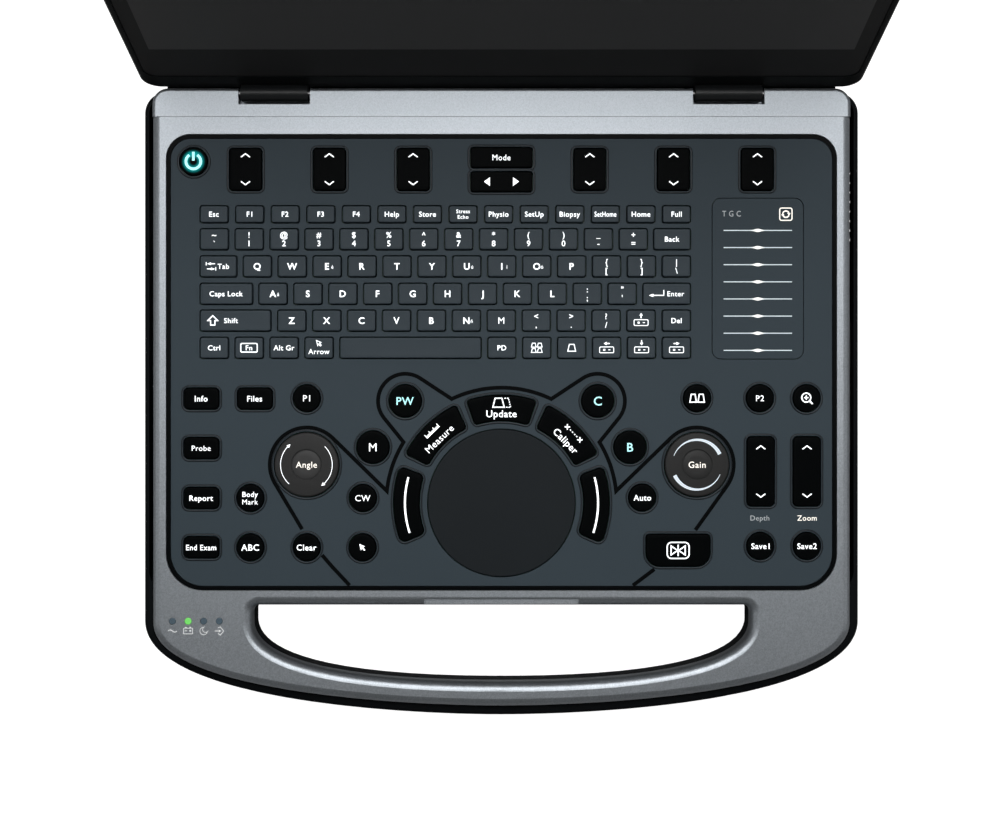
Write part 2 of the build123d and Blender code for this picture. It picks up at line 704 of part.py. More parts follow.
def lid_front_frame():
    """Chin and border round the glass."""
    z0 = LID_FRONT - FRAME_THICK
    frame = slab(-LID_HALF, LID_HALF, 0, LID_LENGTH, z0, LID_FRONT, LID_CORNER)
    frame = round_top(frame, FRAME_THICK - 0.2)
    half = LID_HALF - BORDER
    frame -= slab(-half, half, CHIN, LID_LENGTH - BORDER, z0 - 1, LID_FRONT + 1, 7.0)
    notch = BARREL_LENGTH / 2 + 0.3
    for x in (-HINGE_X, HINGE_X):
        frame -= slab(x - notch, x + notch, -1, BARREL_NOTCH, z0 - 1, LID_FRONT + 1)
    return LID * frame


def display_glass():
    half = LID_HALF - BORDER - 0.15
    z1 = LID_FRONT - GLASS_SINK
    glass = slab(
        -half, half, CHIN + 0.15, LID_LENGTH - BORDER - 0.15, z1 - 1.8, z1, 6.8
    )
    return LID * glass


def lcd_panel():
    """Liquid crystal module with its metal tray, behind the glass."""
    z1 = LID_FRONT - GLASS_SINK - 1.9
    border = 4.0
    module = slab(
        -ACTIVE_W / 2 - border,
        ACTIVE_W / 2 + border,
        ACTIVE_START - 9,
        ACTIVE_START + ACTIVE_H + border,
        z1 - 5.0,
        z1,
        1.0,
    )
    return LID * module


def hinge_barrels():
    """Moving half of both hinges: bored barrel, arm and the leaf inside the lid."""
    solids = []
    for side in (1, -1):
        x = side * HINGE_X
        half = BARREL_LENGTH / 2
        barrel = Pos(x, 0, 0) * Rot(0, 90, 0) * Cylinder(BARREL_RADIUS, BARREL_LENGTH)
        web = slab(x - half, x + half, -1.0, 2.7, -9.5, -1.0)
        arm = slab(x - half, x + half, 0, 26.0, -9.5, -6.6)
        bore = Pos(x, 0, 0) * Rot(0, 90, 0) * Cylinder(BORE_RADIUS, BARREL_LENGTH + 2)
        solids.append(LID * (barrel + web + arm - bore))
    return solids


# ---- Write every piece ----
def build():
    nodes = {
        "bottom_cover": bottom_cover(),
        "top_cover": top_cover(),
        "rear_cover": rear_cover(),
        "control_panel": control_panel(),
        "panel_trim": panel_trim(),
        "touchpad": touchpad(),
        "tgc_strip": tgc_strip(),
        "key_board": key_board(),
        "battery": battery(),
        "battery_door": battery_door(),
        "main_board": main_board(),
        "beamformer_board": beamformer_board(),
        "heat_sink": heat_sink(),
        "fan_housing": fan_housing(),
        "fan_rotor": fan_rotor(),
        "data_drive": data_drive(),
        "speakers": speakers(),
        "probe_socket": probe_socket(),
        "probe_lock": probe_lock(),
        "power_inlet": power_inlet(),
        "io_ports": io_ports() + [port_plate()],
        "feet": feet(),
        "shell_screws": shell_screws(),
        "led_lenses": led_lenses(),
        "hinge_brackets": hinge_brackets(),
        "lid_back_cover": lid_back_cover(),
        "lid_front_frame": lid_front_frame(),
        "display_glass": display_glass(),
        "lcd_panel": lcd_panel(),
        "hinge_barrels": hinge_barrels(),
        "angle_dial": dial(ANGLE_AT),
        "gain_dial": dial(GAIN_AT),
    }
    for group in (keyboard(), push_buttons()):
        for name, outlines in group.items():
            nodes[name] = caps(outlines)
    for name, outlines in rocker_buttons().items():
        nodes[name] = rocker(outlines[0], 90 if name == "mode_rocker" else 0)
    return nodes


os.makedirs("parts", exist_ok=True)
for name, made in build().items():
    solids = made if isinstance(made, list) else [made]
    flat = [s for m in solids for s in m.solids()]
    shape = flat[0] if len(flat) == 1 else Compound(children=flat)
    shape.label = name
    export_step(shape, f"parts/{name}.step")
print(f"rear wall at Y {REAR_Y:.3f}, lid reaches {LID_REACH:.2f} behind it")
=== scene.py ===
import json
import math
import bmesh
import bpy
import numpy as np
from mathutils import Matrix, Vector

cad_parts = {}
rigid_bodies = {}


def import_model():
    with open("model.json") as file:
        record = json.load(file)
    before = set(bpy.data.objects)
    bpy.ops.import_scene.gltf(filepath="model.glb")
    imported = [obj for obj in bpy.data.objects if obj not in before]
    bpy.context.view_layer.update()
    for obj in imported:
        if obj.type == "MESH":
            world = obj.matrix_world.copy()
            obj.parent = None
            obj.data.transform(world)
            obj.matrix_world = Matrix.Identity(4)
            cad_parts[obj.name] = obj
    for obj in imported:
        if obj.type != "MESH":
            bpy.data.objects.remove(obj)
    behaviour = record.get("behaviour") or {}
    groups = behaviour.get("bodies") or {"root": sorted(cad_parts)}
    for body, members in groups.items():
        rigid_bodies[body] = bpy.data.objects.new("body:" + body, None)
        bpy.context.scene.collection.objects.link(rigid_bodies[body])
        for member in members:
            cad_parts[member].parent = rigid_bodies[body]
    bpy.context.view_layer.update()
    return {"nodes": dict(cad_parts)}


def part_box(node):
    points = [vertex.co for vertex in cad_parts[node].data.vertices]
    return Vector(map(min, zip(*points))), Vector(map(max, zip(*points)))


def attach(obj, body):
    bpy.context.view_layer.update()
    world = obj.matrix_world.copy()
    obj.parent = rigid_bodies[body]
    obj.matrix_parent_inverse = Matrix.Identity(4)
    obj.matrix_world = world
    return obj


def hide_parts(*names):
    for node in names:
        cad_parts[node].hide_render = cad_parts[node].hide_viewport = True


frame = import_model()
nodes = frame["nodes"]

# ---------------------------------------------------------------------------
# Camera, light and table
# The scanner stands on a plain pale table under one broad soft box behind it
# and weaker ones at its sides, seen from straight above the control panel.
# ---------------------------------------------------------------------------
MM = 0.001
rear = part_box("rear_cover")[1].y / MM  # rear wall
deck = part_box("top_cover")[1].z / MM  # silver top face


def spot(x, d, z=0.0):
    """Point in metres: x mm right of the middle, d mm forward of the rear wall, z mm up."""
    return Vector((x * MM, (rear - d) * MM, z * MM))


camera = bpy.data.objects.new("camera", bpy.data.cameras.new("camera"))
bpy.context.scene.collection.objects.link(camera)
CAMERA_X, CAMERA_D, CAMERA_RISE = -0.75, 166.2, 825.0  # rise above the silver deck
camera.location = spot(CAMERA_X, CAMERA_D, deck + CAMERA_RISE)
camera.data.lens = 58.2
camera.data.clip_start = 0.02
bpy.context.scene.camera = camera
bpy.context.scene.view_settings.view_transform = "Standard"


def soft_box(name, place, target, width, depth, glow):
    """Rectangular area light that faces a point; its power is pi times its area times its glow."""
    data = bpy.data.lights.new(name, "AREA")
    data.shape = "RECTANGLE"
    data.size, data.size_y = width, depth
    data.energy = math.pi * width * depth * glow
    lamp = bpy.data.objects.new(name, data)
    bpy.context.scene.collection.objects.link(lamp)
    lamp.location = place
    aim = Vector(target) - Vector(place)
    lamp.rotation_euler = aim.to_track_quat("-Z", "Y").to_euler()


soft_box("rear_box", (0.0, 0.78, 1.85), (0, 0.1, 0), 1.5, 1.35, 3.6)
soft_box("left_box", (-1.7, -0.1, 1.2), (0, 0, 0), 0.8, 1.8, 0.5)
soft_box("right_box", (1.7, -0.1, 1.2), (0, 0, 0), 0.8, 1.8, 0.5)


def put(node, **values):
    """Set a node's own sockets by name, an underscore for each space."""
    for socket, value in values.items():
        node.inputs[socket.replace("_", " ")].default_value = value


# The room is a little brighter near the floor than overhead, and its far wall is white.
world = bpy.data.worlds.new("room")
bpy.context.scene.world = world
world.use_nodes = True
sky = world.node_tree
view_way = sky.nodes.new("ShaderNodeTexCoord")
split = sky.nodes.new("ShaderNodeSeparateXYZ")
fade = sky.nodes.new("ShaderNodeMapRange")
fade.interpolation_type = "SMOOTHSTEP"
put(fade, From_Min=0.25, From_Max=0.85, To_Min=0.12, To_Max=0.06)
sky.links.new(view_way.outputs["Generated"], split.inputs["Vector"])
sky.links.new(split.outputs["Z"], fade.inputs["Value"])
wall = sky.nodes.new("ShaderNodeLightPath")
bright = sky.nodes.new("ShaderNodeMath")
bright.operation = "MAXIMUM"
sky.links.new(fade.outputs["Result"], bright.inputs[0])
sky.links.new(wall.outputs["Is Camera Ray"], bright.inputs[1])
sky.links.new(bright.outputs["Value"], sky.nodes["Background"].inputs["Strength"])
put(sky.nodes["Background"], Color=(1, 1, 1, 1))

# The table glows a little to the eye, as a lit white sweep does, and far less to the object.
table_mesh = bpy.data.meshes.new("table")
HALF_TABLE = 6.0
corners = [(x * HALF_TABLE, y * HALF_TABLE, 0) for x, y in ((-1, -1), (1, -1), (1, 1), (-1, 1))]
table_mesh.from_pydata(corners, [], [(0, 1, 2, 3)])
table = bpy.data.objects.new("table", table_mesh)
bpy.context.scene.collection.objects.link(table)
table_paint = bpy.data.materials.new("table_paint")
table_paint.use_nodes = True
board = table_paint.node_tree.nodes["Principled BSDF"]
seen = table_paint.node_tree.nodes.new("ShaderNodeLightPath")
glow = table_paint.node_tree.nodes.new("ShaderNodeMath")
glow.operation = "MULTIPLY"
glow.inputs[1].default_value = 1.0
table_paint.node_tree.links.new(seen.outputs["Is Camera Ray"], glow.inputs[0])
table_paint.node_tree.links.new(glow.outputs["Value"], board.inputs["Emission Strength"])
put(
    board, Base_Color=(0.36, 0.36, 0.36, 1), Roughness=0.9, Specular_IOR_Level=0.1,
    Emission_Color=(1, 1, 1, 1),
)
table_mesh.materials.append(table_paint)


# ---------------------------------------------------------------------------
# Silver covers
# Frame round the panel with the handle's upper half, and the strip before the
# hinges: moulded alloy sprayed with fine metallic paint, screwed on from below.
# ---------------------------------------------------------------------------
def build_grain():
    """Group: specks mix fine noise with random cells, clouds are slow noise, height is the fine noise."""
    tree = bpy.data.node_groups.new("moulded_grain", "ShaderNodeTree")
    for name, kind in (("Vector", "Vector"), ("Scale", "Float"), ("Mix", "Float")):
        tree.interface.new_socket(name, in_out="INPUT", socket_type="NodeSocket" + kind)
    for name in ("Specks", "Clouds", "Height"):
        tree.interface.new_socket(name, in_out="OUTPUT", socket_type="NodeSocketFloat")
    n, link = tree.nodes, tree.links.new
    into, out = n.new("NodeGroupInput"), n.new("NodeGroupOutput")
    cells = n.new("ShaderNodeTexVoronoi")
    noise = n.new("ShaderNodeTexNoise")
    put(noise, Detail=3.0)
    slow = n.new("ShaderNodeTexNoise")
    put(slow, Scale=14.0, Detail=3.0)
    mix = n.new("ShaderNodeMix")
    mix.data_type = "FLOAT"
    for tex in (cells, noise, slow):
        link(into.outputs["Vector"], tex.inputs["Vector"])
    link(into.outputs["Scale"], cells.inputs["Scale"])
    link(into.outputs["Scale"], noise.inputs["Scale"])
    grey = n.new("ShaderNodeRGBToBW")
    link(cells.outputs["Color"], grey.inputs["Color"])
    link(into.outputs["Mix"], mix.inputs["Factor"])
    link(noise.outputs["Fac"], mix.inputs["A"])
    link(grey.outputs["Val"], mix.inputs["B"])
    link(mix.outputs["Result"], out.inputs["Specks"])
    link(slow.outputs["Fac"], out.inputs["Clouds"])
    link(noise.outputs["Fac"], out.inputs["Height"])
    return tree


grain_group = build_grain()


def moulding(name, dark, light, rough, scale, cells=0.0, bump=0.05, depth=0.04, cloud=0.35, **fixed):
    """Material whose colour and gloss run from dark to light over specks and clouds; relief depth in mm."""
    mat = bpy.data.materials.new(name)
    mat.use_nodes = True
    n, link = mat.node_tree.nodes, mat.node_tree.links.new
    shader = n["Principled BSDF"]
    place = n.new("ShaderNodeTexCoord")
    grain = n.new("ShaderNodeGroup")
    grain.node_tree = grain_group
    put(grain, Scale=scale, Mix=cells)
    link(place.outputs["Object"], grain.inputs["Vector"])
    blend = n.new("ShaderNodeMix")
    blend.data_type = "FLOAT"
    put(blend, Factor=cloud)
    link(grain.outputs["Specks"], blend.inputs["A"])
    link(grain.outputs["Clouds"], blend.inputs["B"])
    spread = n.new("ShaderNodeMapRange")
    put(spread, From_Min=0.3, From_Max=0.7)
    link(blend.outputs["Result"], spread.inputs["Value"])
    colour = n.new("ShaderNodeMix")
    colour.name, colour.data_type = "colour", "RGBA"
    put(colour, A=(*dark, 1), B=(*light, 1))
    link(spread.outputs["Result"], colour.inputs["Factor"])
    link(colour.outputs["Result"], shader.inputs["Base Color"])
    gloss = n.new("ShaderNodeMapRange")
    put(gloss, To_Min=rough[0], To_Max=rough[1])
    link(grain.outputs["Specks"], gloss.inputs["Value"])
    link(gloss.outputs["Result"], shader.inputs["Roughness"])
    relief = n.new("ShaderNodeBump")
    put(relief, Strength=bump, Distance=depth * MM)
    link(grain.outputs["Height"], relief.inputs["Height"])
    link(relief.outputs["Normal"], shader.inputs["Normal"])
    put(shader, **fixed)
    return mat


def dress(material, *names):
    """Give CAD pieces their material."""
    for name in names:
        mesh = nodes[name].data
        mesh.materials.clear()
        mesh.materials.append(material)


silver_paint = moulding(
    "silver_paint", (0.36, 0.39, 0.42), (0.48, 0.515, 0.55), (0.34, 0.44), 1900, cells=0.6, bump=0.3,
    depth=0.03, cloud=0.2, Metallic=0.85,
)
dress(silver_paint, "top_cover", "rear_cover")

# ---------------------------------------------------------------------------
# Lower shell
# Dark moulded tray with the handle's lower half, a snap-in battery door and
# four rubber feet pressed on.
# ---------------------------------------------------------------------------
shell_plastic = moulding(
    "shell_plastic", (0.0035, 0.0045, 0.0055), (0.008, 0.0095, 0.011), (0.42, 0.58), 2600,
    bump=0.35, depth=0.06, Specular_IOR_Level=0.06,
)
rubber = moulding("rubber", (0.012, 0.012, 0.012), (0.03, 0.03, 0.03), (0.75, 0.95), 900, bump=0.4)
dress(shell_plastic, "bottom_cover", "battery_door")
dress(rubber, "feet")

# ---------------------------------------------------------------------------
# Control panel, trim ring and touchpad
# The panel is one slate moulding with soft-touch paint, a raised lip round
# each black key and a black ring round its edge. The pad is set flush in it.
# ---------------------------------------------------------------------------
slate = moulding(
    "slate", (0.054, 0.076, 0.092), (0.062, 0.086, 0.105), (0.42, 0.55), 3200, bump=0.15, depth=0.03,
    Specular_IOR_Level=0.15,
)
trim_black = moulding(
    "trim_black", (0.002, 0.0025, 0.003), (0.004, 0.005, 0.0055), (0.3, 0.42), 2500, Specular_IOR_Level=0.04
)
pad_skin = moulding(
    "pad_skin", (0.013, 0.017, 0.020), (0.018, 0.023, 0.027), (0.45, 0.6), 4500,
    bump=0.3, Specular_IOR_Level=0.15,
)
dress(slate, "control_panel", "tgc_strip")
dress(trim_black, "panel_trim")
dress(pad_skin, "touchpad")
panel_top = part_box("tgc_strip")[1].z / MM


# ---------------------------------------------------------------------------
# Keyboard
# Seven rows of moulded slate caps, each with a rounded top edge and a shallow
# bowl. A row's caps sit on one switch sheet and travel straight down.
# ---------------------------------------------------------------------------
def islands(name):
    """Boxes in mm of the separate solids of a CAD node, rear ones first and then from left to right.

    Corners that coincide are one vertex; each vertex takes the lowest label in its triangles until nothing
    changes, so the vertices of one solid end with one label.
    """
    mesh = nodes[name].data
    mesh.calc_loop_triangles()
    points = np.empty(len(mesh.vertices) * 3, np.float32)
    mesh.vertices.foreach_get("co", points)
    corners = np.empty(len(mesh.loop_triangles) * 3, np.int32)
    mesh.loop_triangles.foreach_get("vertices", corners)
    points = points.reshape(-1, 3) / MM
    places, same = np.unique(np.round(points, 3), axis=0, return_inverse=True)
    triangles = same.reshape(-1)[corners].reshape(-1, 3)
    label = np.arange(len(places))
    while True:
        lowest = label.copy()
        least = label[triangles].min(axis=1)
        for corner in triangles.T:
            np.minimum.at(lowest, corner, least)
        lowest = lowest[lowest]
        if (lowest == label).all():
            break
        label = lowest
    boxes = [(places[label == k].min(axis=0), places[label == k].max(axis=0)) for k in np.unique(label)]
    return sorted(boxes, key=lambda b: (-round((b[0][1] + b[1][1]) / 6), b[0][0]))


def weave(grid, looped=False, paint=0):
    """Closed skin over a grid of rings: quads join neighbouring rings; the ends are flat faces, or meet."""
    rows, count = grid.shape[:2]
    index = np.arange(rows * count).reshape(rows, count)
    across = np.roll(index, -1, axis=1)
    if looped:
        index, across = np.vstack([index, index[:1]]), np.vstack([across, across[:1]])
    quads = np.stack([index[:-1], across[:-1], across[1:], index[1:]], -1).reshape(-1, 4).tolist()
    if not looped:
        quads += [index[0, ::-1].tolist(), index[-1].tolist()]
    return grid.reshape(-1, 3), quads, paint


def add_piece(name, skins, body, *paints, slot=None, stands_for=()):
    """One object from several skins, given in mm, that rides on a body."""
    starts = np.cumsum([0] + [len(points) for points, _, _ in skins])
    faces = [[v + start for v in face] for start, skin in zip(starts.tolist(), skins) for face in skin[1]]
    mesh = bpy.data.meshes.new(name)
    mesh.from_pydata((np.concatenate([s[0] for s in skins]) * MM).tolist(), [], faces)
    for paint in paints:
        mesh.materials.append(paint)
    which = np.repeat([s[2] for s in skins], [len(s[1]) for s in skins])
    mesh.polygons.foreach_set("material_index", which.astype(np.int32))
    mesh.shade_smooth()
    mesh.set_sharp_from_angle(angle=math.radians(35))
    piece = bpy.data.objects.new(name, mesh)
    bpy.context.scene.collection.objects.link(piece)
    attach(piece, body)
    if stands_for:
        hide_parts(*stands_for)
    return piece


def rounded(lo, hi, corners, inset=0.0, steps=6, between=0):
    """Rectangle with a quarter circle at each corner, anticlockwise from the right rear one.

    The inset moves each side in and takes as much off each radius; points may be added along the sides.
    """
    r = np.maximum(np.broadcast_to(corners, 4) - inset, 0.05)
    x = np.array([hi[0], lo[0], lo[0], hi[0]]) + (inset + r) * [-1, 1, 1, -1]
    y = np.array([hi[1], hi[1], lo[1], lo[1]]) + (inset + r) * [-1, -1, 1, 1]
    turn = np.radians(np.arange(4)[:, None] * 90 + np.linspace(0, 90, steps))
    bends = np.stack([x[:, None] + r[:, None] * np.cos(turn), y[:, None] + r[:, None] * np.sin(turn)], -1)
    share = np.linspace(0, 1, between + 2)[1:-1, None]
    sides = bends[:, -1, None] * (1 - share) + np.roll(bends, -1, axis=0)[:, 0, None] * share
    return np.concatenate([bends, sides], axis=1).reshape(-1, 2)


def layers(flat, *heights):
    """The same flat outline repeated at each height, as the rings of a grid."""
    return np.stack([np.c_[flat, np.full(len(flat), z)] for z in heights])


def cap(outline, z0, z1, edge=0.45, taper=0.22, dish=0.0):
    """Moulded cap over an outline(inset): leaning wall, quarter-round edge, shallow bowl on top."""
    turn = np.radians(np.linspace(0, 90, 5))
    insets = np.r_[0, taper + edge * (1 - np.cos(turn))]
    levels = np.r_[z0, z1 - edge + edge * np.sin(turn)]
    rings = [layers(flat, z)[0] for flat, z in zip(map(outline, insets), levels)]
    middle = rings[-1].mean(axis=0)
    for share in (0.8, 0.5, 0.2):
        ring = middle + (rings[-1 if share == 0.8 else 5] - middle) * share
        ring[:, 2] = z1 - dish * (1 - share**2)
        rings.append(ring)
    return weave(np.stack(rings))


KEY_CORNER = 1.3
key_slate = moulding(
    "key_slate", (0.050, 0.069, 0.084), (0.060, 0.081, 0.098), (0.42, 0.52), 3000, bump=0.15, depth=0.03,
    Specular_IOR_Level=0.2,
)
ROWS = ["function_keys", "number_keys", "top_letter_keys", "home_letter_keys", "low_letter_keys"]
ROWS += ["bottom_row_keys", "space_bar"]
for row in ROWS:
    caps = [
        cap(lambda inset: rounded(lo, hi, KEY_CORNER, inset), lo[2], hi[2], edge=0.35, taper=0.3, dish=0.1)
        for lo, hi in islands(row)
    ]
    add_piece(row + "_caps", caps, row, key_slate, slot="key_slate", stands_for=[row])

# ---------------------------------------------------------------------------
# Black keys and rockers
# Gloss-moulded caps that stand in the panel's lipped windows: round, oblong,
# ring-shaped round the touchpad, and rockers that tip about their middle.
# ---------------------------------------------------------------------------
CAP_BLACK = (0.0018, 0.0024, 0.0027), (0.0026, 0.0034, 0.0038), (0.34, 0.44), 2600
key_black = moulding("key_black", *CAP_BLACK, Specular_IOR_Level=0.02)
pad_lo, pad_hi = (np.array(corner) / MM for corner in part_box("touchpad"))
ring_x, ring_y = (pad_lo[:2] + pad_hi[:2]) / 2
RING_IN, RING_OUT = 42.0, 55.2  # radii of the ring keys
STUB = 0.3  # pivot stub that a rocker's CAD solid has on two sides


def disc(lo, hi, inset=0.0, count=48):
    """Circle in a box, anticlockwise."""
    turn = np.arange(count) / count * math.tau
    radius = (hi[0] - lo[0]) / 2 - inset
    return (lo[:2] + hi[:2]) / 2 + radius * np.stack([np.cos(turn), np.sin(turn)], 1)


def sector(start, end, corner, inset=0.0):
    """Ring key between two angles clockwise from the rear: a rounded rectangle, arc by radius, bent."""
    middle = (RING_IN + RING_OUT) / 2
    arc = np.radians([start, end]) * middle
    flat = rounded((arc[0], RING_IN), (arc[1], RING_OUT), corner, inset, between=12)
    bearing, radius = flat[:, 0] / middle, flat[:, 1]
    return np.stack([ring_x + radius * np.sin(bearing), ring_y + radius * np.cos(bearing)], 1)


RING_KEYS = {
    "update_key": (-19, 19, 2.0),
    "measure_key": (-63, -25, 2.0),
    "caliper_key": (25, 63, 2.0),
    "left_set_key": (-111.8, -70.3, 3.0),
    "right_set_key": (70.3, 111.8, 3.0),
}
OBLONG = {"mode_key": 1.6, "pill_keys": 2.6, "freeze_key": (2, 2, 7, 7), "mode_rocker": 1.6}
OBLONG |= {f"soft_rocker_{i}": 1.8 for i in range(1, 7)} | {"depth_rocker": 2.4, "zoom_rocker": 2.4}
ROUND = ["scan_mode_keys", "left_round_keys", "right_round_keys"]
black_boxes = {}


def edge_of(name, lo, hi):
    """Outline(inset) of a black key from its box."""
    if name in RING_KEYS:
        return lambda inset: sector(*RING_KEYS[name], inset)
    if name in OBLONG:
        return lambda inset: rounded(lo, hi, OBLONG[name], inset)
    return lambda inset: disc(lo, hi, inset)


for name in [*RING_KEYS, *OBLONG, *ROUND]:
    boxes = islands(name)
    if "rocker" in name:
        side = np.array([0, STUB, 0] if name == "mode_rocker" else [STUB, 0, 0])
        boxes = [(lo + side, hi - side) for lo, hi in boxes]
    black_boxes[name] = boxes
    caps = [cap(edge_of(name, lo, hi), lo[2], hi[2], edge=0.4, taper=0.12) for lo, hi in boxes]
    add_piece(name + "_caps", caps, name, key_black, slot="key_black", stands_for=[name])

# ---------------------------------------------------------------------------
# Lips round the black keys
# Rolled bead on the panel's raised lip round every black key and dial, in a
# darker gloss: partly the bead's own tone and partly painted shade for the
# shadow line round each key's lip.
# ---------------------------------------------------------------------------
# The bead is darker than the slate panel: partly its own tone, partly painted shade standing in for the
# shadow round each key.
lip_gloss_painted_shade = moulding(
    "lip_gloss_painted_shade", (0.014, 0.020, 0.025), (0.019, 0.026, 0.032), (0.3, 0.4), 2800, Specular_IOR_Level=0.3
)
LIP_SECTION = [  # how far out of the key's outline, and how high above the panel
    (0.42, -0.3), (1.5, -0.3), (1.5, 0.05), (1.42, 0.28), (1.22, 0.44), (0.95, 0.5), (0.65, 0.46), (0.42, 0.3)
]


def lip(outline):
    """Bead carried round an outline(inset): a ring of its section's points at every point of the outline."""
    out, up = np.array(LIP_SECTION).T
    rails = np.stack([outline(-step) for step in out], axis=1)
    rise = np.broadcast_to(panel_top + up, rails.shape[:2])
    return weave(np.concatenate([rails, rise[..., None]], axis=-1)[:, ::-1], looped=True)


beads = [lip(edge_of(name, lo, hi)) for name, boxes in black_boxes.items() for lo, hi in boxes]
for name in ("power_button", "angle_dial", "gain_dial"):
    lo, hi = islands(name)[0]
    beads.append(lip(lambda inset: disc(lo, hi, inset, 72)))
add_piece("key_lips", beads, "base", lip_gloss_painted_shade)

# ---------------------------------------------------------------------------
# Power button
# Black disc cap with a light pipe behind it, so a ring round its symbol glows
# cyan through the tinted plastic.
# ---------------------------------------------------------------------------
power_lo, power_hi = islands("power_button")[0]
power_x, power_y = (power_lo[:2] + power_hi[:2]) / 2
POWER_RING = 3.8
power_glow = moulding("power_glow", *CAP_BLACK, Specular_IOR_Level=0.02)


def from_axis(mat, x, y):
    """Node that gives the distance from an upright line through (x, y), and the tree's nodes and linker."""
    n, link = mat.node_tree.nodes, mat.node_tree.links.new
    place, centre, far = (n.new(f"ShaderNode{k}") for k in ("TexCoord", "Mapping", "VectorMath"))
    put(centre, Location=(-x * MM, -y * MM, 0), Scale=(1, 1, 0))
    far.operation = "LENGTH"
    link(place.outputs["Object"], centre.inputs["Vector"])
    link(centre.outputs["Vector"], far.inputs[0])
    return far, n, link


def ring_glow(mat, x, y, radius, width, colour, strength):
    """Emission that falls from full on a circle round (x, y) to none a width away on either side."""
    far, n, link = from_axis(mat, x, y)
    off = n.new("ShaderNodeMath")
    off.operation = "SUBTRACT"
    off.inputs[1].default_value = radius * MM
    away = n.new("ShaderNodeMath")
    away.operation = "ABSOLUTE"
    fall = n.new("ShaderNodeMapRange")
    fall.interpolation_type = "SMOOTHERSTEP"
    put(fall, From_Max=width * MM, To_Min=1.0, To_Max=0.0)
    tint = n.new("ShaderNodeMix")
    tint.data_type = "RGBA"
    put(tint, A=(0, 0, 0, 1), B=(*colour, 1))
    link(far.outputs["Value"], off.inputs[0])
    link(off.outputs["Value"], away.inputs[0])
    link(away.outputs["Value"], fall.inputs["Value"])
    link(fall.outputs["Result"], tint.inputs["Factor"])
    link(tint.outputs["Result"], n["Principled BSDF"].inputs["Emission Color"])
    put(n["Principled BSDF"], Emission_Strength=strength)


ring_glow(power_glow, power_x, power_y, POWER_RING, 2.6, (0.0, 0.42, 0.42), 0.8)
power_cap = cap(edge_of("power_button", power_lo, power_hi), power_lo[2], power_hi[2], edge=0.4, taper=0.12)
add_piece(
    "power_button_cap", [power_cap], "power_button", power_glow, slot="key_black", stands_for=["power_button"]
)

# ---------------------------------------------------------------------------
# Angle and gain dials
# Turned grey knobs with a fluted rim, fine turning marks on the face and a
# separate centre cap set in a groove.
# ---------------------------------------------------------------------------
FLUTES, FLUTE_DEPTH = 60, 0.07
CAP_RADIUS = 7.2
dial_centre = {}


def knob(lo, hi):
    """Profile of radius and height turned about the dial's axis; the rim's radius ripples once per flute."""
    radius, z0, z1 = (hi[0] - lo[0]) / 2, lo[2], hi[2]
    turn = np.radians(np.linspace(0, 90, 6))
    r = np.r_[radius - 0.2, radius - 0.2, radius - 1.2 + np.cos(turn), CAP_RADIUS + 0.75]
    z = np.r_[z0, z1 - 1.3, z1 - 1.0 + 1.0 * np.sin(turn), z1]
    r = np.r_[r, CAP_RADIUS + 0.6, CAP_RADIUS + 0.6, CAP_RADIUS, CAP_RADIUS, CAP_RADIUS - 0.3, 4.0, 1.0]
    z = np.r_[z, z1 - 0.15, z1 - 0.6, z1 - 0.6, z1 - 0.2, z1 - 0.05, z1 - 0.1, z1 - 0.12]
    around = np.arange(4 * FLUTES) / (4 * FLUTES) * math.tau
    ripple = FLUTE_DEPTH * np.cos(FLUTES * around) * (r > radius - 0.5)[:, None]
    rim = r[:, None] + ripple
    middle = (lo + hi) / 2
    rise = np.broadcast_to(z[:, None], rim.shape)
    return weave(np.stack([middle[0] + rim * np.cos(around), middle[1] + rim * np.sin(around), rise], -1))


for name, light, cap_grey in (("angle_dial", 1.0, 0.065), ("gain_dial", 0.85, 0.04)):
    lo, hi = islands(name)[0]
    dial_centre[name] = (lo[:2] + hi[:2]) / 2
    dark, pale = (0.034 * light,) * 3, (0.042 * light,) * 3
    paint = moulding(name + "_grey", dark, pale, (0.38, 0.52), 2600, Specular_IOR_Level=0.2)
    far, n, link = from_axis(paint, *dial_centre[name])
    marks = n.new("ShaderNodeTexNoise")
    marks.noise_dimensions = "1D"
    put(marks, Scale=2500.0)
    turned = n.new("ShaderNodeBump")
    put(turned, Strength=0.25, Distance=0.03 * MM)
    link(far.outputs["Value"], marks.inputs["W"])
    link(marks.outputs["Fac"], turned.inputs["Height"])
    link(turned.outputs["Normal"], n["Principled BSDF"].inputs["Normal"])
    inner, cap_tint = n.new("ShaderNodeMath"), n.new("ShaderNodeMix")
    inner.operation, cap_tint.data_type = "COMPARE", "RGBA"
    inner.inputs[1].default_value, inner.inputs[2].default_value = 0.0, CAP_RADIUS * MM
    put(cap_tint, B=(*(cap_grey,) * 3, 1))
    link(far.outputs["Value"], inner.inputs[0])
    link(inner.outputs["Value"], cap_tint.inputs["Factor"])
    link(n["colour"].outputs["Result"], cap_tint.inputs["A"])
    link(cap_tint.outputs["Result"], n["Principled BSDF"].inputs["Base Color"])
    add_piece(name + "_knob", [knob(lo, hi)], name, paint, slot="dial_grey", stands_for=[name])


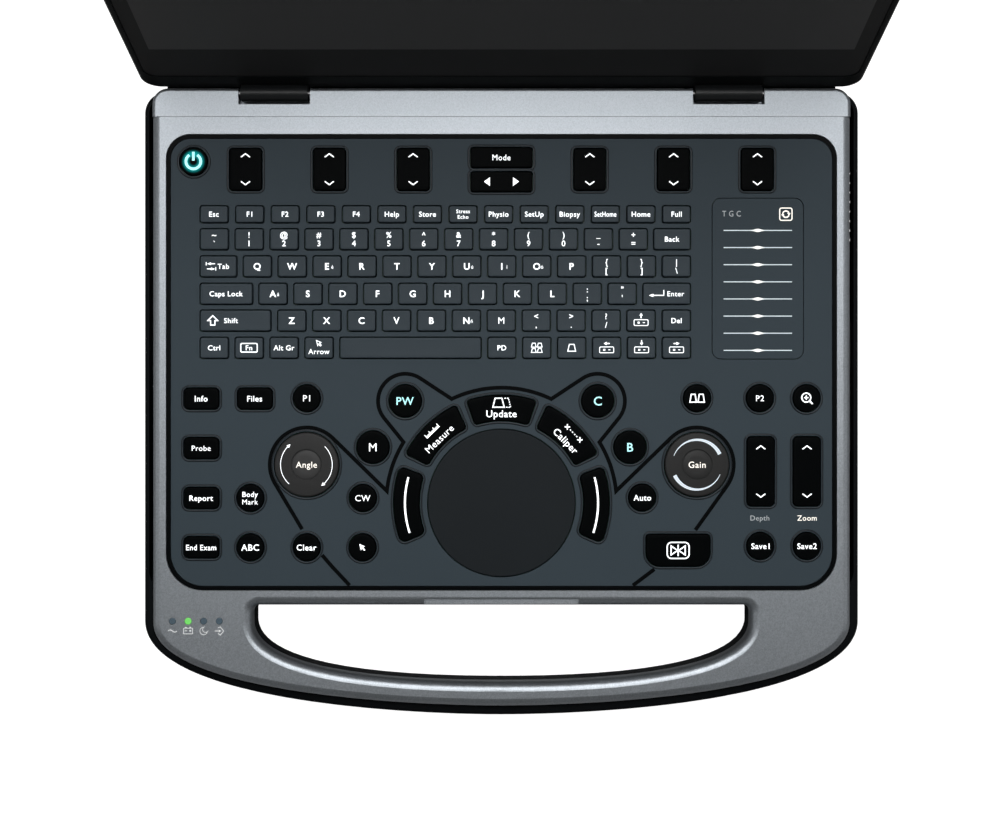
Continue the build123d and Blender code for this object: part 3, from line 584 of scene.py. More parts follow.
# ---------------------------------------------------------------------------
# Black line on the panel
# One painted line about 2 mm wide that loops over both dials, the two round
# scan keys and the ring keys, and runs off the panel's front edge.
# ---------------------------------------------------------------------------
def stroke(path, width, z0, z1, closed=False, paint=0):
    """Flat ribbon along a path: each point is widened along the mean of its two neighbours' normals,
    lengthened by one over the cosine of half the turn, so that corners are mitred."""
    path = np.asarray(path, float)
    step = np.diff(np.vstack([path, path[:1]]) if closed else path, axis=0)
    step /= np.linalg.norm(step, axis=1, keepdims=True)
    side = np.stack([-step[:, 1], step[:, 0]], 1)
    before = np.roll(side, 1, axis=0) if closed else np.vstack([side[:1], side])
    after = side if closed else np.vstack([side, side[-1:]])
    mean = before + after
    mean /= np.maximum(np.linalg.norm(mean, axis=1, keepdims=True), 1e-9)
    stretch = np.minimum(1 / np.maximum(np.sum(mean * after, axis=1), 1e-6), 3.2)
    off = mean * stretch[:, None] * np.reshape(width, (-1, 1)) / 2
    left, right = layers(path + off, z0, z1), layers(path - off, z1, z0)
    return weave(np.stack([*left, *right], axis=1), closed, paint)


def arc(centre, radius, a0, a1, count=28):
    """Points on a circle between two angles, in degrees anticlockwise from the right."""
    turn = np.radians(np.linspace(a0, a1, count))
    return np.asarray(centre) + radius * np.stack([np.cos(turn), np.sin(turn)], 1)


def graze(point, centre, radius, side):
    """Angle of the tangent point on a circle, seen from a point outside it, on its left (-1) or right (1)."""
    away = np.asarray(point) - centre
    return math.degrees(math.atan2(away[1], away[0]) + side * math.acos(radius / np.hypot(*away)))


LINE_WIDTH, LINE_DEPTH, LINE_RISE = 2.0, 0.1, 0.04
DIAL_LOOP, KEY_LOOP, RING_LOOP = 18.95, 13.9, 58.9  # radii of the line's arcs
line_black = moulding(
    "line_black", (0.002, 0.0025, 0.003), (0.004, 0.005, 0.0055), (0.38, 0.5), 2600, Specular_IOR_Level=0.03
)
ring_mid = np.array([ring_x, ring_y])
scan_centres = [(lo[:2] + hi[:2]) / 2 for lo, hi in black_boxes["scan_mode_keys"]]
halves = []
for sign, dial_name, lobe, foot in (
    (-1, "angle_dial", scan_centres[0], (-101.9, 225.4)),
    (1, "gain_dial", scan_centres[1], (99.1, 225.8)),
):
    mirror = np.array([-sign, 1.0])  # the half is drawn as the left one
    dial_mid, lobe_mid, ring_c = (np.asarray(c) * mirror for c in (dial_centre[dial_name], lobe, ring_mid))
    start = np.array([foot[0], rear - foot[1]]) * mirror
    rise = arc(ring_c, RING_LOOP, 174.1, 148.2, 12)
    top = arc(ring_c, RING_LOOP, 115.6, 90, 14)
    a0 = graze(start, dial_mid, DIAL_LOOP, -1) % 360
    a1 = graze(rise[0], dial_mid, DIAL_LOOP, 1)
    b0 = graze(rise[-1], lobe_mid, KEY_LOOP, -1) % 360
    b1 = graze(top[0], lobe_mid, KEY_LOOP, 1)
    half = np.vstack([start, arc(dial_mid, DIAL_LOOP, a0, a1), rise, arc(lobe_mid, KEY_LOOP, b0, b1), top])
    halves.append(half * mirror)
whole = np.vstack([halves[0], halves[1][::-1][1:]])
tails = [[(-91.7, 238.6), (-86.5, 244.6), (-77.6, 254.1)], [(78.2, 245.8), (67.2, 254.1)]]
paths = [whole] + [np.array(tail) * (1, -1) + (0, rear) for tail in tails]
lines = [stroke(path, LINE_WIDTH, panel_top - LINE_DEPTH, panel_top + LINE_RISE) for path in paths]
add_piece("panel_line", lines, "base", line_black)


# ---------------------------------------------------------------------------
# Legends
# Letters, figures and plain signs laser-cut through the caps' paint, so the
# white light below shines through; the scan keys' letters glow cyan.
# ---------------------------------------------------------------------------
CAPITAL = 0.70  # capital height of the lettering, per unit of size
LINE_STEP = 1.5  # line spacing in capital heights


def letters(text, height, room=99.0, heavy=0.004):
    """Points and faces of a word of that capital height about the origin, squeezed to fit its room."""
    curve = bpy.data.curves.new("word", "FONT")
    curve.body, curve.size, curve.extrude = text, 1.0, 0.5
    curve.space_character = 1.08
    curve.resolution_u, curve.offset = 3, 0.0 if "M" in text else heavy  # the offset would close an M
    shaper = bpy.data.objects.new("word", curve)
    mesh = bpy.data.meshes.new_from_object(shaper)
    weld = bmesh.new()
    weld.from_mesh(mesh)
    bmesh.ops.remove_doubles(weld, verts=weld.verts, dist=1e-6)
    points = np.array([v.co for v in weld.verts])
    faces = [[v.index for v in f.verts] for f in weld.faces]
    weld.free()
    for used in (shaper, curve, mesh):
        bpy.data.batch_remove([used])
    points[:, 0] -= (points[:, 0].min() + points[:, 0].max()) / 2
    points[:, :2] *= height / CAPITAL
    points[:, 1] -= height / 2
    wide = np.ptp(points[:, 0])
    points[:, 0] *= min(1.0, room / wide)
    return points, faces


def trapezoid(x, y, w, h, lean=0.2):
    """Corners of the scan-sector sign: narrower at the top."""
    foot, head = w / 2, w * (0.5 - lean)
    return [(x - foot, y - h / 2), (x + foot, y - h / 2), (x + head, y + h / 2), (x - head, y + h / 2)]


def frame_sign(w, h, r=0.6):
    """Corners of a rounded frame about the origin."""
    return rounded((-w / 2, -h / 2), (w / 2, h / 2), r)


def arrow(x, y, w, h, turn):
    """Line with a solid head: its length runs up, turned by an angle."""
    c, s = math.cos(math.radians(turn)), math.sin(math.radians(turn))
    spin = np.array([[c, s], [-s, c]])
    stem = np.array([(0, -h / 2), (0, 0.05)]) @ spin + (x, y)
    head = np.array([(-w / 2, 0), (w / 2, 0), (0, h / 2)]) @ spin + (x, y)
    return [("line", stem, w * 0.32), ("fill", head, 0)]


CURSOR = [(-1.6, 1.8), (1.35, 0.55), (0.35, 0.1), (1.5, -1.25), (0.95, -1.75), (-0.25, -0.45), (-0.75, -1.5)]
SIGNS = {
    "up": [("line", [(-2.3, -0.8), (0, 0.9), (2.3, -0.8)], 0.55)],
    "down": [("line", [(-2.3, 0.8), (0, -0.9), (2.3, 0.8)], 0.55)],
    "left": [("fill", [(1.5, -2.2), (1.5, 2.2), (-1.5, 0)], 0)],
    "right": [("fill", [(-1.5, 2.2), (-1.5, -2.2), (1.5, 0)], 0)],
    "cursor": [("fill", CURSOR, 0)],
    "cursor_line": [("loop", np.array(CURSOR) * 0.8, 0.35)],
    "power": [("line", arc((0, 0), POWER_RING, 122, 418), 1.35), ("line", [(0, 0.4), (0, 4.9)], 1.35)],
    "sector": [("loop", trapezoid(0, 0, 4.6, 4.0), 0.5)],
    "two_sectors": [("loop", trapezoid(x, 0, 3.3, 4.0), 0.55) for x in (-2.05, 2.05)],
    "four_sectors": [("loop", trapezoid(x, y, 2.8, 2.3), 0.42) for x in (-1.75, 1.75) for y in (-1.55, 1.55)],
    "swap": [("loop", trapezoid(-1.6, 0, 6.2, 4.9), 0.6)]
    + [("line", [(x, 2.45), (x + 0.9, 2.45)], 0.5) for x in (1.6, 3.0)]
    + [("line", [(x, -2.45), (x + 0.9, -2.45)], 0.5) for x in (2.4, 3.8)]
    + [("line", [(3.9 + 0.3 * k, 1.9 - 1.2 * k), (4.1 + 0.3 * k, 1.2 - 1.2 * k)], 0.5) for k in range(4)],
    "ruler": [("line", [(-4.4, -1.0), (4.4, -1.0)], 0.4)]
    + [("line", [(0.7 * i - 4.2, -1.0), (0.7 * i - 4.2, 0.1 if i % 4 else 1.0)], 0.38) for i in range(13)],
    "caliper": [("line", [(x - 1, -1 * s), (x + 1, 1 * s)], 0.55) for x in (-4.6, 4.6) for s in (-1, 1)]
    + [("line", [(x - 0.35, 0), (x + 0.35, 0)], 0.55) for x in (-2.3, -0.8, 0.8, 2.3)],
    "loupe": [("loop", arc((-0.3, 0.3), 2.3, 0, 350, 30), 0.6), ("line", [(1.35, -1.35), (2.9, -2.9)], 0.8)]
    + [("line", [(-1.4, 0.3), (0.8, 0.3)], 0.55), ("line", [(-0.3, -0.8), (-0.3, 1.4)], 0.55)],
    "freeze": [("loop", rounded((-5.6, -4.1), (5.6, 4.1), 2.2), 0.6)]
    + [("loop", [(-3.6, -2.3), (-3.6, 2.3), (-0.3, 0)], 0.6)]
    + [("loop", [(3.6, 2.3), (3.6, -2.3), (0.3, 0)], 0.6)]
    + [("line", [(0, -2.9), (0, 2.9)], 0.6)],
    "reset": [("loop", frame_sign(5.9, 5.9, 0.9), 0.5), ("line", arc((0, 0), 1.55, 20, 160, 12), 0.6)]
    + [("line", arc((0, 0), 1.55, 200, 340, 12), 0.6)]
    + [("fill", [(0.7 * s, 0.5 * s), (2.3 * s, 0.5 * s), (1.5 * s, -0.6 * s)], 0) for s in (1, -1)],
    "tab": [("line", [(-2.6, 0.5), (-2.6, 2.3)], 0.4), ("line", [(2.6, -2.3), (2.6, -0.5)], 0.4)]
    + arrow(0, 1.4, 1.5, 4.4, 90) + arrow(0, -1.4, 1.5, 4.4, -90),
    "shift": [("loop", [(-1.1, -2.3), (1.1, -2.3), (1.1, 0), (2.5, 0), (0, 2.5), (-2.5, 0), (-1.1, 0)], 0.5)],
    "enter": [("line", [(3.9, 2.0), (3.9, -0.9), (-2.0, -0.9)], 0.5)]
    + [("fill", [(-1.8, 0), (-4.2, -0.9), (-1.8, -1.8)], 0)],
    "box": [("loop", frame_sign(8.4, 4.4), 0.5)],
}
BOXED = {"left": (90, 2.5, 3.4), "down": (180, 2.9, 3.0), "right": (-90, 2.5, 3.4), "up": (0, 2.9, 3.0)}
for way, (turn, y, h) in BOXED.items():
    SIGNS["boxed_" + way] = arrow(0, y, 2.0, h, turn) + [
        ("loop", frame_sign(8.2, 3.4) - (0, 1.2), 0.42),
        ("line", [(-2.0, -1.2), (-0.8, -1.2)], 1.0),
        ("line", [(1.0, -1.2), (2.2, -1.2)], 0.45),
    ]


SIGN_HEIGHT = 3.2  # height at which the signs above are drawn


def legend(
    what, centre, top, height=SIGN_HEIGHT, room=99.0, turn=0.0, sink=0.14, rise=0.03, paint=0, heavy=0.004
):
    """Skins of a word, or of a sign named with a leading slash, on a cap, turned about its own middle."""
    c, s = math.cos(math.radians(turn)), math.sin(math.radians(turn))
    spin = np.array([[c, s], [-s, c]])
    skins = []
    low, high = top - sink, top + rise
    if what.startswith("/"):
        scale = height / SIGN_HEIGHT
        for kind, path, width in SIGNS[what[1:]]:
            flat = np.asarray(path, float) * scale @ spin + centre
            if kind == "fill":
                x, y = flat.T
                if np.sum(x * np.roll(y, -1) - y * np.roll(x, -1)) < 0:
                    flat = flat[::-1]
                skins.append(weave(layers(flat, low, high), False, paint))
            else:
                skins.append(stroke(flat, width * scale, low, high, kind == "loop", paint))
        return skins
    words = what.split("\n")
    for i, word in enumerate(words):
        points, faces = letters(word, height, room, heavy)
        points[:, 1] += ((len(words) - 1) / 2 - i) * height * LINE_STEP
        points[:, :2] = points[:, :2] @ spin + centre
        points[:, 2] = np.where(points[:, 2] > 0, high, low)
        skins.append((points, faces, paint))
    return skins


lit_white = moulding(
    "lit_white", (0.75, 0.78, 0.8), (0.85, 0.87, 0.88), (0.4, 0.5), 1800,
    Emission_Color=(0.95, 0.98, 1.0, 1), Emission_Strength=1.4,
)
lit_cyan = moulding(
    "lit_cyan", (0.6, 0.8, 0.8), (0.7, 0.85, 0.85), (0.4, 0.5), 1800,
    Emission_Color=(0.35, 0.95, 0.97, 1), Emission_Strength=0.85,
)
lit_warm = moulding(
    "lit_warm", (0.75, 0.73, 0.68), (0.85, 0.83, 0.78), (0.4, 0.5), 1800,
    Emission_Color=(1.0, 0.94, 0.84, 1), Emission_Strength=1.0,
)
WORDS = {
    "function_keys": [
        "Esc", "F1", "F2", "F3", "F4", "Help", "Store", "Stress\nEcho", "Physio", "SetUp", "Biopsy",
        "SetHome", "Home", "Full",
    ],
    "number_keys": "~\n`|!\n1|@\n2|#\n3|$\n4|%\n5|^\n6|&\n7|*\n8|(\n9|)\n0|_\n-|+\n=|Back".split("|"),
    "top_letter_keys": "Tab,Q,W,E,R,T,Y,U,I,O,P,{\n[,}\n],|\n\\".split(","),
    "home_letter_keys": 'Caps Lock,A,S,D,F,G,H,J,K,L,:\n;,"\n\',Enter'.split(","),
    "low_letter_keys": "Shift Z X C V B N M <\n, >\n. ?\n/ /boxed_up Del".split(" "),
    "bottom_row_keys": [
        "Ctrl", "Fn", "Alt Gr", "Arrow", "PD", "/four_sectors", "/sector", "/boxed_left", "/boxed_down",
        "/boxed_right",
    ],
}
SIDE_SIGNS = {  # words moved aside by x and y for a sign: (sign, its x, its y, its height)
    "Tab": (2.6, 0, "/tab", -3.7, 0, 3.0),
    "Shift": (-2.2, 0, "/shift", -11.5, 0, 3.2),
    "Enter": (4.6, 0, "/enter", -5.2, 0, 3.0),
    "Arrow": (0, -1.9, "/cursor_line", 0, 2.3, 3.2),
    "Fn": (0, 0, "/box", 0, 0, 3.2),
}
ACCENTS = {"E": "é", "A": "á", "U": "ú", "I": "í", "O": "ó", "N": "ñ"}
for row, words in WORDS.items():
    skins = []
    for (lo, hi), word in zip(islands(row), words):
        middle, room = (lo[:2] + hi[:2]) / 2, hi[0] - lo[0] - 3.2
        height = 2.6 if len(word.replace("\n", "")) > 1 else 3.3
        if "\n" in word:
            height = 1.9 if len(word) > 4 else 2.9
        if word in SIDE_SIGNS:
            x, y, sign, sign_x, sign_y, sign_height = SIDE_SIGNS[word]
            skins += legend(sign, middle + (sign_x, sign_y), hi[2], sign_height)
            skins += legend(word, middle + (x, y), hi[2], height, room)
            continue
        if word.startswith("/"):
            height = 2.8
        skins += legend(word, middle, hi[2], height, room, heavy=0.016 if len(word) == 1 else 0.009)
        if word in ACCENTS:
            skins += legend(ACCENTS[word], middle + (2.7, -0.3), hi[2], 1.8)
    add_piece(row + "_legend", skins, row, lit_white)

BLACK_WORDS = {  # what is on each cap, in the order of its boxes: text, height, room
    "mode_key": [("Mode", 3.0, 9.2)],
    "scan_mode_keys": [("PW", 4.0, 9.4), ("C", 4.5, 9.0), ("M", 4.2, 9.0), ("B", 4.4, 9.0)],
    "pill_keys": [
        ("Info", 2.9, 12), ("Files", 2.9, 12), ("Probe", 2.7, 12), ("Report", 2.8, 12.6),
        ("End Exam", 2.8, 15.4),
    ],
    "left_round_keys": [
        ("P1", 3.2, 9), ("Body\nMark", 2.6, 9.4), ("CW", 3.1, 8), ("ABC", 3.2, 9.4), ("Clear", 3.0, 10.6),
        ("/cursor", 3.2, 9),
    ],
    "right_round_keys": [
        ("/two_sectors", 3.2, 9), ("P2", 3.0, 9), ("/loupe", 3.2, 9), ("Auto", 2.9, 9.6),
        ("Save1", 2.9, 11.2), ("Save2", 2.9, 11.2),
    ],
    "freeze_key": [("/freeze", 3.2, 12)],
}
for name, words in BLACK_WORDS.items():
    skins = []
    for (lo, hi), (word, height, room) in zip(black_boxes[name], words):
        cyan = int(word in ("PW", "C", "B"))
        heavy = 0.0 if word in ("P1", "P2", "CW", "Probe") else 0.009
        skins += legend(word, (lo[:2] + hi[:2]) / 2, hi[2], height, room, paint=cyan, heavy=heavy)
    add_piece(name + "_legend", skins, name, lit_white, lit_cyan)

key_top = black_boxes["update_key"][0][1][2]
RING_WORDS = {  # word, sign, sign's height, bearing from the rear
    "update_key": ("Update", "/swap", 3.0, 0),
    "measure_key": ("Measure", "/ruler", 3.2, -44),
    "caliper_key": ("Caliper", "/caliper", 3.2, 46),
}
SIGN_RADIUS, WORD_RADIUS = 51.2, 45.6
for name, (word, sign, height, bearing) in RING_WORDS.items():
    out = np.array([math.sin(math.radians(bearing)), math.cos(math.radians(bearing))])
    skins = legend(sign, ring_mid + out * SIGN_RADIUS, key_top, height, turn=-bearing)
    skins += legend(word, ring_mid + out * WORD_RADIUS, key_top, 3.5, turn=-bearing, heavy=0.008)
    add_piece(name + "_legend", skins, name, lit_white)

BAR_RADIUS = 49.3
for name, a0, a1 in (("left_set_key", 164.5, 198), ("right_set_key", 15.5, -18)):
    bar = stroke(arc(ring_mid, BAR_RADIUS, a0, a1), 0.95, key_top - 0.14, key_top + 0.03)
    add_piece(name + "_legend", [bar], name, lit_white)

ARROWS = {f"soft_rocker_{i}": (0, 7.0) for i in range(1, 7)}  # arrow's place from the rocker's middle
ARROWS |= {"depth_rocker": (0, 12.2), "zoom_rocker": (0, 12.2), "mode_rocker": (7.4, 0)}
for name, away in ARROWS.items():
    lo, hi = black_boxes[name][0]
    middle = (lo[:2] + hi[:2]) / 2
    back, on = ("/left", "/right") if name == "mode_rocker" else ("/down", "/up")
    skins = legend(back, middle - away, hi[2]) + legend(on, middle + away, hi[2])
    add_piece(name + "_legend", skins, name, lit_white)

skins = legend("/power", (power_x, power_y), power_hi[2])
add_piece("power_button_legend", skins, "power_button", lit_cyan)

dial_top = islands("angle_dial")[0][1][2]
DIAL_INK = dial_top - 0.1, dial_top + 0.03  # the lit marks' underside and top
middle = dial_centre["angle_dial"]
skins = legend("Angle", middle, dial_top - 0.1, 3.1, 11.4, paint=0)
for a0, a1 in ((228, 135), (45, -48)):
    skins.append(stroke(arc(middle, 13.2, a0, a1), 0.32, *DIAL_INK, paint=1))
    tip = arc(middle, 13.2, a1, a1 - 7, 2)
    sides = arc(middle, 12.3, a1 + 1, a1 + 1, 1)[0], arc(middle, 14.1, a1 + 1, a1 + 1, 1)[0]
    flat = np.array([sides[0], sides[1], tip[1]])[::-1]
    skins.append(weave(layers(flat, *DIAL_INK), False, 1))
add_piece("angle_dial_legend", skins, "angle_dial", lit_warm, lit_white)
middle = dial_centre["gain_dial"]
skins = legend("Gain", middle, dial_top - 0.1, 3.2, 9.8, paint=0)
for a0, a1 in ((159, 25), (-23, -154.4)):
    skins.append(stroke(arc(middle, 12.7, a0, a1, 36), np.linspace(0.25, 1.9, 36), *DIAL_INK, paint=1))
lit_blue = moulding(
    "lit_blue", (0.5, 0.56, 0.6), (0.6, 0.66, 0.7), (0.4, 0.5), 1800,
    Emission_Color=(0.62, 0.70, 0.77, 1), Emission_Strength=0.75,
)
add_piece("gain_dial_legend", skins, "gain_dial", lit_warm, lit_blue)

# ---------------------------------------------------------------------------
# Gain strip and printed labels
# Flat touch strip with eight lit slider lines, each with a bright bead at its
# middle, and labels printed on the panel beside the strip and the rockers;
# the grey print carries a faint painted glow.
# ---------------------------------------------------------------------------
strip_lo, strip_hi = (np.array(corner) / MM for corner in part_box("tgc_strip"))
strip_x = (strip_lo[0] + strip_hi[0]) / 2
LINES, LINE_HALF, LINE_PITCH, FIRST_LINE = 8, 17.5, 8.76, 16.3  # the first is so far from the rear edge
BEAD_WIDTH, BEAD_SPREAD = 1.15, 1.9
LABEL_D, TITLE_D = 219.6, 64.0  # how far forward of the rear wall the labels' middles are
PANEL_INK = panel_top - 0.1, panel_top + 0.03
slider_glow = moulding(
    "slider_glow", (0.5, 0.55, 0.58), (0.6, 0.65, 0.68), (0.4, 0.5), 1800, Emission_Strength=0.95
)
n, link = slider_glow.node_tree.nodes, slider_glow.node_tree.links.new
place, part_x, off, away = (n.new(f"ShaderNode{k}") for k in ("TexCoord", "SeparateXYZ", "Math", "Math"))
off.operation, away.operation = "SUBTRACT", "ABSOLUTE"
off.inputs[1].default_value = strip_x * MM
ramp = n.new("ShaderNodeMapRange")
ramp.interpolation_type = "SMOOTHERSTEP"
put(ramp, From_Max=5.0 * MM)
tint = n.new("ShaderNodeMix")
tint.data_type = "RGBA"
put(tint, A=(1.0, 0.97, 0.9, 1), B=(0.42, 0.50, 0.53, 1))
link(place.outputs["Object"], part_x.inputs["Vector"])
link(part_x.outputs["X"], off.inputs[0])
link(off.outputs["Value"], away.inputs[0])
link(away.outputs["Value"], ramp.inputs["Value"])
link(ramp.outputs["Result"], tint.inputs["Factor"])
link(tint.outputs["Result"], n["Principled BSDF"].inputs["Emission Color"])
along = np.linspace(-LINE_HALF, LINE_HALF, 57)
swell = 0.5 + BEAD_WIDTH * np.exp(-((along / BEAD_SPREAD) ** 2))
skins = []
for i in range(LINES):
    y = strip_hi[1] - FIRST_LINE - i * LINE_PITCH
    flat = np.stack([strip_x + along, np.full(len(along), y)], 1)
    skins.append(stroke(flat, swell, *PANEL_INK))
add_piece("gain_lines", skins, "base", slider_glow)

# The grey print is given a faint painted glow, so it reads lighter than the light falling on it makes it.
print_grey_painted_glow = moulding(
    "print_grey_painted_glow", (0.40, 0.43, 0.45), (0.46, 0.49, 0.51), (0.5, 0.6), 2200,
    Emission_Color=(0.5, 0.54, 0.56, 1), Emission_Strength=0.45,
)
skins = legend("T G C", (117.6, rear - TITLE_D), panel_top, 2.9, 9.5, heavy=0.0)
skins += legend("Depth", (132.1, rear - LABEL_D), panel_top, 2.6, 9.6, heavy=0.0)
skins += legend("/reset", (145.4, rear - TITLE_D - 0.3), panel_top, 3.4, paint=1)
skins += legend("Zoom", (156.2, rear - LABEL_D), panel_top, 2.7, 10.0, paint=1)
add_piece("panel_labels", skins, "base", print_grey_painted_glow, lit_warm)

# ---------------------------------------------------------------------------
# State lamps
# Four lenses let into the silver cover, the second one lit green, with plain
# signs printed below them; the print carries a faint painted glow.
# ---------------------------------------------------------------------------
lamp_boxes = islands("led_lenses")
lens = moulding("lens", (0.11, 0.16, 0.20), (0.13, 0.19, 0.235), (0.15, 0.25), 800)
n, link = lens.node_tree.nodes, lens.node_tree.links.new
place, part_x, lit = (n.new(f"ShaderNode{k}") for k in ("TexCoord", "SeparateXYZ", "Math"))
lit.operation = "COMPARE"
lit.inputs[1].default_value = (lamp_boxes[1][0][0] + lamp_boxes[1][1][0]) / 2 * MM
lit.inputs[2].default_value = 3.0 * MM
green = n.new("ShaderNodeMix")
green.data_type = "RGBA"
put(green, A=(0, 0, 0, 1), B=(0.13, 0.62, 0.04, 1))
link(place.outputs["Object"], part_x.inputs["Vector"])
link(part_x.outputs["X"], lit.inputs[0])
link(lit.outputs["Value"], green.inputs["Factor"])
link(green.outputs["Result"], n["Principled BSDF"].inputs["Emission Color"])
put(n["Principled BSDF"], Emission_Strength=1.0)
dress(lens, "led_lenses")

# The printed signs are given a faint painted glow, so they read whiter than the dim light on them makes them.
print_white_painted_glow = moulding(
    "print_white_painted_glow", (0.75, 0.76, 0.77), (0.85, 0.86, 0.87), (0.5, 0.6), 2200,
    Emission_Color=(1, 1, 1, 1), Emission_Strength=0.25,
)
wave = np.linspace(-2.3, 2.3, 21)
crescent = np.vstack([arc((0, 0), 1.9, 100, 350, 20), arc((0.95, 0.75), 1.45, 330, 120, 14)])
LAMP_SIGNS = {
    "mains": [("line", np.stack([wave, -0.55 * np.sin(wave * math.pi / 2.3)], 1), 0.45)],
    "battery": [("loop", frame_sign(4.6, 2.9, 0.3), 0.38)]
    + [("fill", [(x, 1.6), (x + 0.9, 1.6), (x + 0.9, 2.1), (x, 2.1)], 0) for x in (-1.6, 0.7)]
    + [("line", [(-1.6, 0.1), (-0.5, 0.1)], 0.35), ("line", [(0.5, 0.1), (1.7, 0.1)], 0.35)]
    + [("line", [(1.1, -0.5), (1.1, 0.7)], 0.35)],
    "moon": [("loop", crescent, 0.32)],
    "drive": [("line", [(-0.6, 1.6), (0.6, 2.1), (2.3, 0), (0.6, -2.1), (-0.6, -1.2)], 0.4)]
    + [("line", [(-2.3, 0), (0.2, 0)], 0.45)]
    + [("fill", [(-0.2, 0.8), (-0.2, -0.8), (1.1, 0)], 0)],
}
SIGNS |= LAMP_SIGNS
LAMP_SIGN_D = 277.2
skins = []
for (lo, hi), sign in zip(lamp_boxes, LAMP_SIGNS):
    skins += legend("/" + sign, ((lo[0] + hi[0]) / 2, rear - LAMP_SIGN_D), deck, sink=0.03, rise=0.02)
add_piece("lamp_signs", skins, "base", print_white_painted_glow)

# ---------------------------------------------------------------------------
# Lid
# Back cover and front border are moulded, the front one near black, round a
# sheet of anti-glare glass with the display module behind it.
# ---------------------------------------------------------------------------
LEAN = 14.5  # degrees past upright
lid_paint = moulding("lid_paint", (0.012, 0.013, 0.015), (0.024, 0.026, 0.029), (0.35, 0.5), 2400, bump=0.25)
border_black = moulding(
    "border_black", (0.0035, 0.0045, 0.005), (0.006, 0.0075, 0.008), (0.4, 0.5), 2600, Specular_IOR_Level=0.1
)
dress(lid_paint, "lid_back_cover")
dress(border_black, "lid_front_frame")
display_black = moulding(
    "display_black", (0.034, 0.034, 0.0345), (0.038, 0.038, 0.0385), (0.42, 0.5), 900, Specular_IOR_Level=0.1
)
# The active area is a lighter black: its mask is a box in the lid's own upright coordinates.
ACTIVE_HALF, ACTIVE_FROM, ACTIVE_TO = 172.0, 41.5, 235.5
n, link = display_black.node_tree.nodes, display_black.node_tree.links.new
place, upright, parts = (n.new(f"ShaderNode{k}") for k in ("TexCoord", "Mapping", "SeparateXYZ"))
upright.vector_type = "POINT"
put(upright, Rotation=(math.radians(LEAN), 0, 0))
link(place.outputs["Object"], upright.inputs["Vector"])
link(upright.outputs["Vector"], parts.inputs["Vector"])
AXIS_D, AXIS_SINK = 2.5, 2.4  # the hinge axis, forward of the rear wall and below the deck
axis_y, axis_z = (rear - AXIS_D) * MM, (deck - AXIS_SINK) * MM
foot_z = axis_y * math.sin(math.radians(LEAN)) + axis_z * math.cos(math.radians(LEAN))
masks = []
active_mid, active_half = (ACTIVE_FROM + ACTIVE_TO) / 2 * MM, (ACTIVE_TO - ACTIVE_FROM) / 2 * MM
for axis, middle, half in (("X", 0.0, ACTIVE_HALF * MM), ("Z", foot_z + active_mid, active_half)):
    inside = n.new("ShaderNodeMath")
    inside.operation = "COMPARE"
    inside.inputs[1].default_value, inside.inputs[2].default_value = middle, half
    link(parts.outputs[axis], inside.inputs[0])
    masks.append(inside)
both, active = n.new("ShaderNodeMath"), n.new("ShaderNodeMix")
both.operation, active.data_type = "MULTIPLY", "RGBA"
put(active, B=(0.11, 0.11, 0.111, 1))
link(masks[0].outputs["Value"], both.inputs[0])
link(masks[1].outputs["Value"], both.inputs[1])
link(both.outputs["Value"], active.inputs["Factor"])
link(n["colour"].outputs["Result"], active.inputs["A"])
link(active.outputs["Result"], n["Principled BSDF"].inputs["Base Color"])
dress(display_black, "display_glass", "lcd_panel")

# ---------------------------------------------------------------------------
# Hinges and screws
# Painted steel barrels turn on pins in the base; the shell's screws go in
# from below and have a cross recess in a domed head.
# ---------------------------------------------------------------------------
hinge_paint = moulding("hinge_paint", (0.010, 0.011, 0.012), (0.02, 0.022, 0.024), (0.35, 0.48), 2400)
steel = moulding("steel", (0.42, 0.42, 0.43), (0.6, 0.6, 0.61), (0.22, 0.36), 1800, Metallic=1.0)
dress(hinge_paint, "hinge_barrels")
dress(steel, "hinge_brackets")


def screw(lo, hi):
    """Head seen from below: rings of radius and height about its axis; the recess is a rounded cross."""
    around = np.arange(48) / 48 * math.tau
    cross = 0.55 + 1.05 * np.abs(np.cos(2 * around)) ** 3
    radius, low, high = (hi[0] - lo[0]) / 2, lo[2], hi[2]
    plain = np.ones(48)
    rings = [(plain * radius, high), (plain * radius, low + 0.5), (plain * radius * 0.9, low + 0.15)]
    rings += [(plain * radius * 0.7, low + 0.02), (cross, low)]
    rings += [(cross * 0.9, low + 0.9), (cross * 0.4, low + 1.2)]
    middle = (lo + hi) / 2
    ray = np.stack([np.cos(around), np.sin(around)], 1)
    grid = [layers(middle[:2] + r[:, None] * ray, z)[0] for r, z in rings]
    return weave(np.stack(grid)[:, ::-1])


heads = [screw(lo, hi) for lo, hi in islands("shell_screws")]
add_piece("screw_heads", heads, "base", steel, slot="steel", stands_for=["shell_screws"])


# ---------------------------------------------------------------------------
# Sockets
# Black moulded sockets in the side and rear walls. The data sockets have a
# folded steel liner and a contact tongue; the probe socket has gilt contacts.
# ---------------------------------------------------------------------------
socket_black = moulding("socket_black", (0.006, 0.006, 0.007), (0.014, 0.014, 0.016), (0.35, 0.5), 2200)
gilt = moulding("gilt", (0.62, 0.42, 0.16), (0.78, 0.56, 0.24), (0.2, 0.32), 1500, Metallic=1.0)
dress(socket_black, "probe_socket", "power_inlet", "io_ports", "probe_lock")


def bar(x0, x1, y0, y1, z0, z1, paint=0, corner=0.15):
    """Small upright block with rounded upright edges."""
    flat = rounded((x0, y0), (x1, y1), corner, steps=3)
    return weave(layers(flat, z0, z1), False, paint)


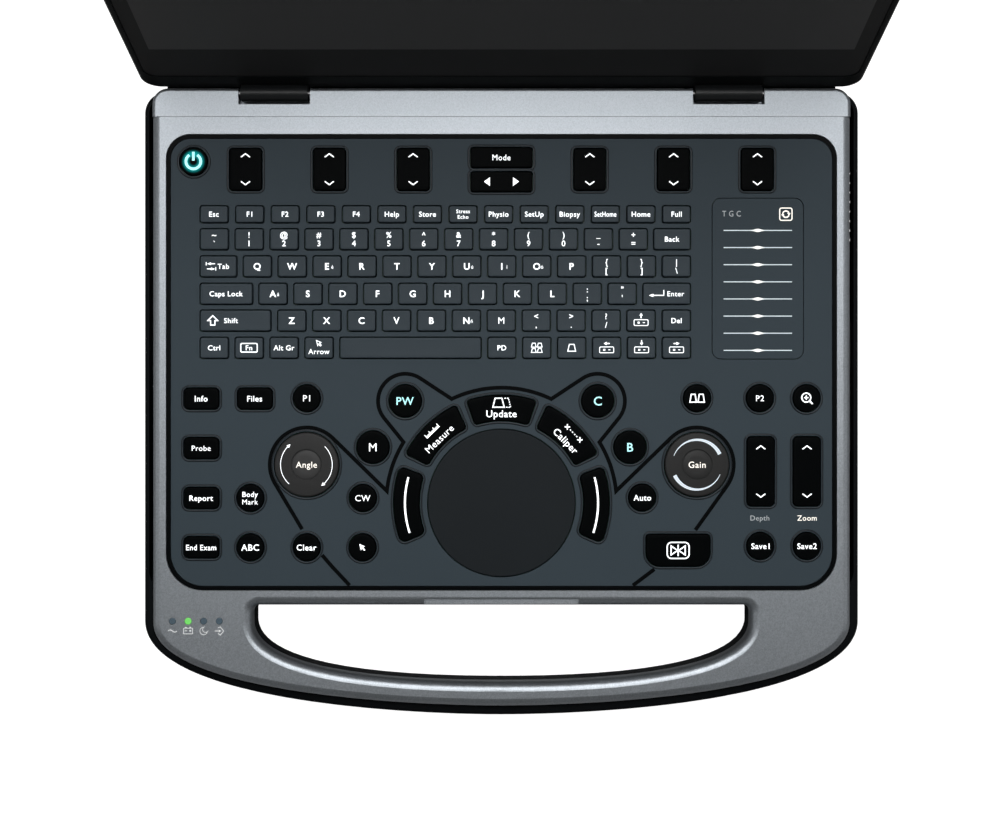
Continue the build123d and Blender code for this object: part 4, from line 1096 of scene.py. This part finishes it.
LINER, PORT_MID_Z = 0.35, 20.5
TALL_PORT, LOW_PORT = 9.0, 5.8  # opening heights: the data network's socket is the narrow tall one
skins = []
for lo, hi in islands("io_ports"):
    depth = hi[1] - lo[1] - 2.8  # the opening is as wide as the block less its walls
    if not 10 < depth < 20:
        continue
    height = TALL_PORT if depth < 13.2 else LOW_PORT
    y, z = (lo[1] + hi[1]) / 2, PORT_MID_Z
    x0, x1 = lo[0] + 0.2, lo[0] + 12.0
    for y0, y1, z0, z1 in (
        (-depth / 2, depth / 2, height / 2 - LINER, height / 2),
        (-depth / 2, depth / 2, -height / 2, LINER - height / 2),
        (-depth / 2, LINER - depth / 2, -height / 2, height / 2),
        (depth / 2 - LINER, depth / 2, -height / 2, height / 2),
    ):
        skins.append(bar(x0, x1, y + y0, y + y1, z + z0, z + z1))
    tongue = depth / 2 - 1.4
    skins.append(bar(lo[0] + 2.0, lo[0] + 14.5, y - tongue, y + tongue, z + 0.3, z + 1.9, 1))
    for k in np.linspace(-tongue + 1.2, tongue - 1.2, 4):
        skins.append(bar(lo[0] + 2.6, lo[0] + 12.0, y + k - 0.5, y + k + 0.5, z + 0.15, z + 0.35, 2))
add_piece("socket_liners", skins, "base", steel, socket_black, gilt)

probe_lo, probe_hi = (np.array(corner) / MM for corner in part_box("probe_socket"))
PIN_HALF, PIN_PITCH, PIN_MID_Z = 0.45, 1.6, 20.0
pins = []
for y in np.linspace(probe_hi[1] - 12.0, probe_lo[1] + 27.0, 20):
    for z in (PIN_MID_Z - PIN_PITCH, PIN_MID_Z, PIN_MID_Z + PIN_PITCH):
        sides = (y - PIN_HALF, y + PIN_HALF, z - PIN_HALF, z + PIN_HALF)
        pins.append(bar(163.9, 164.5, *sides, corner=0.12))
add_piece("probe_contacts", pins, "base", gilt)

# ---------------------------------------------------------------------------
# Inside the base
# Boards, cooling, battery, drive and speakers, all screwed into the shell.
# ---------------------------------------------------------------------------
solder_mask = moulding("solder_mask", (0.004, 0.05, 0.02), (0.01, 0.09, 0.04), (0.3, 0.45), 700)
fins = moulding("fins", (0.5, 0.5, 0.52), (0.7, 0.7, 0.72), (0.3, 0.45), 1500, Metallic=1.0)
dress(solder_mask, "key_board", "main_board", "beamformer_board")
dress(fins, "heat_sink", "battery")
dress(socket_black, "fan_housing", "fan_rotor", "data_drive", "speakers")
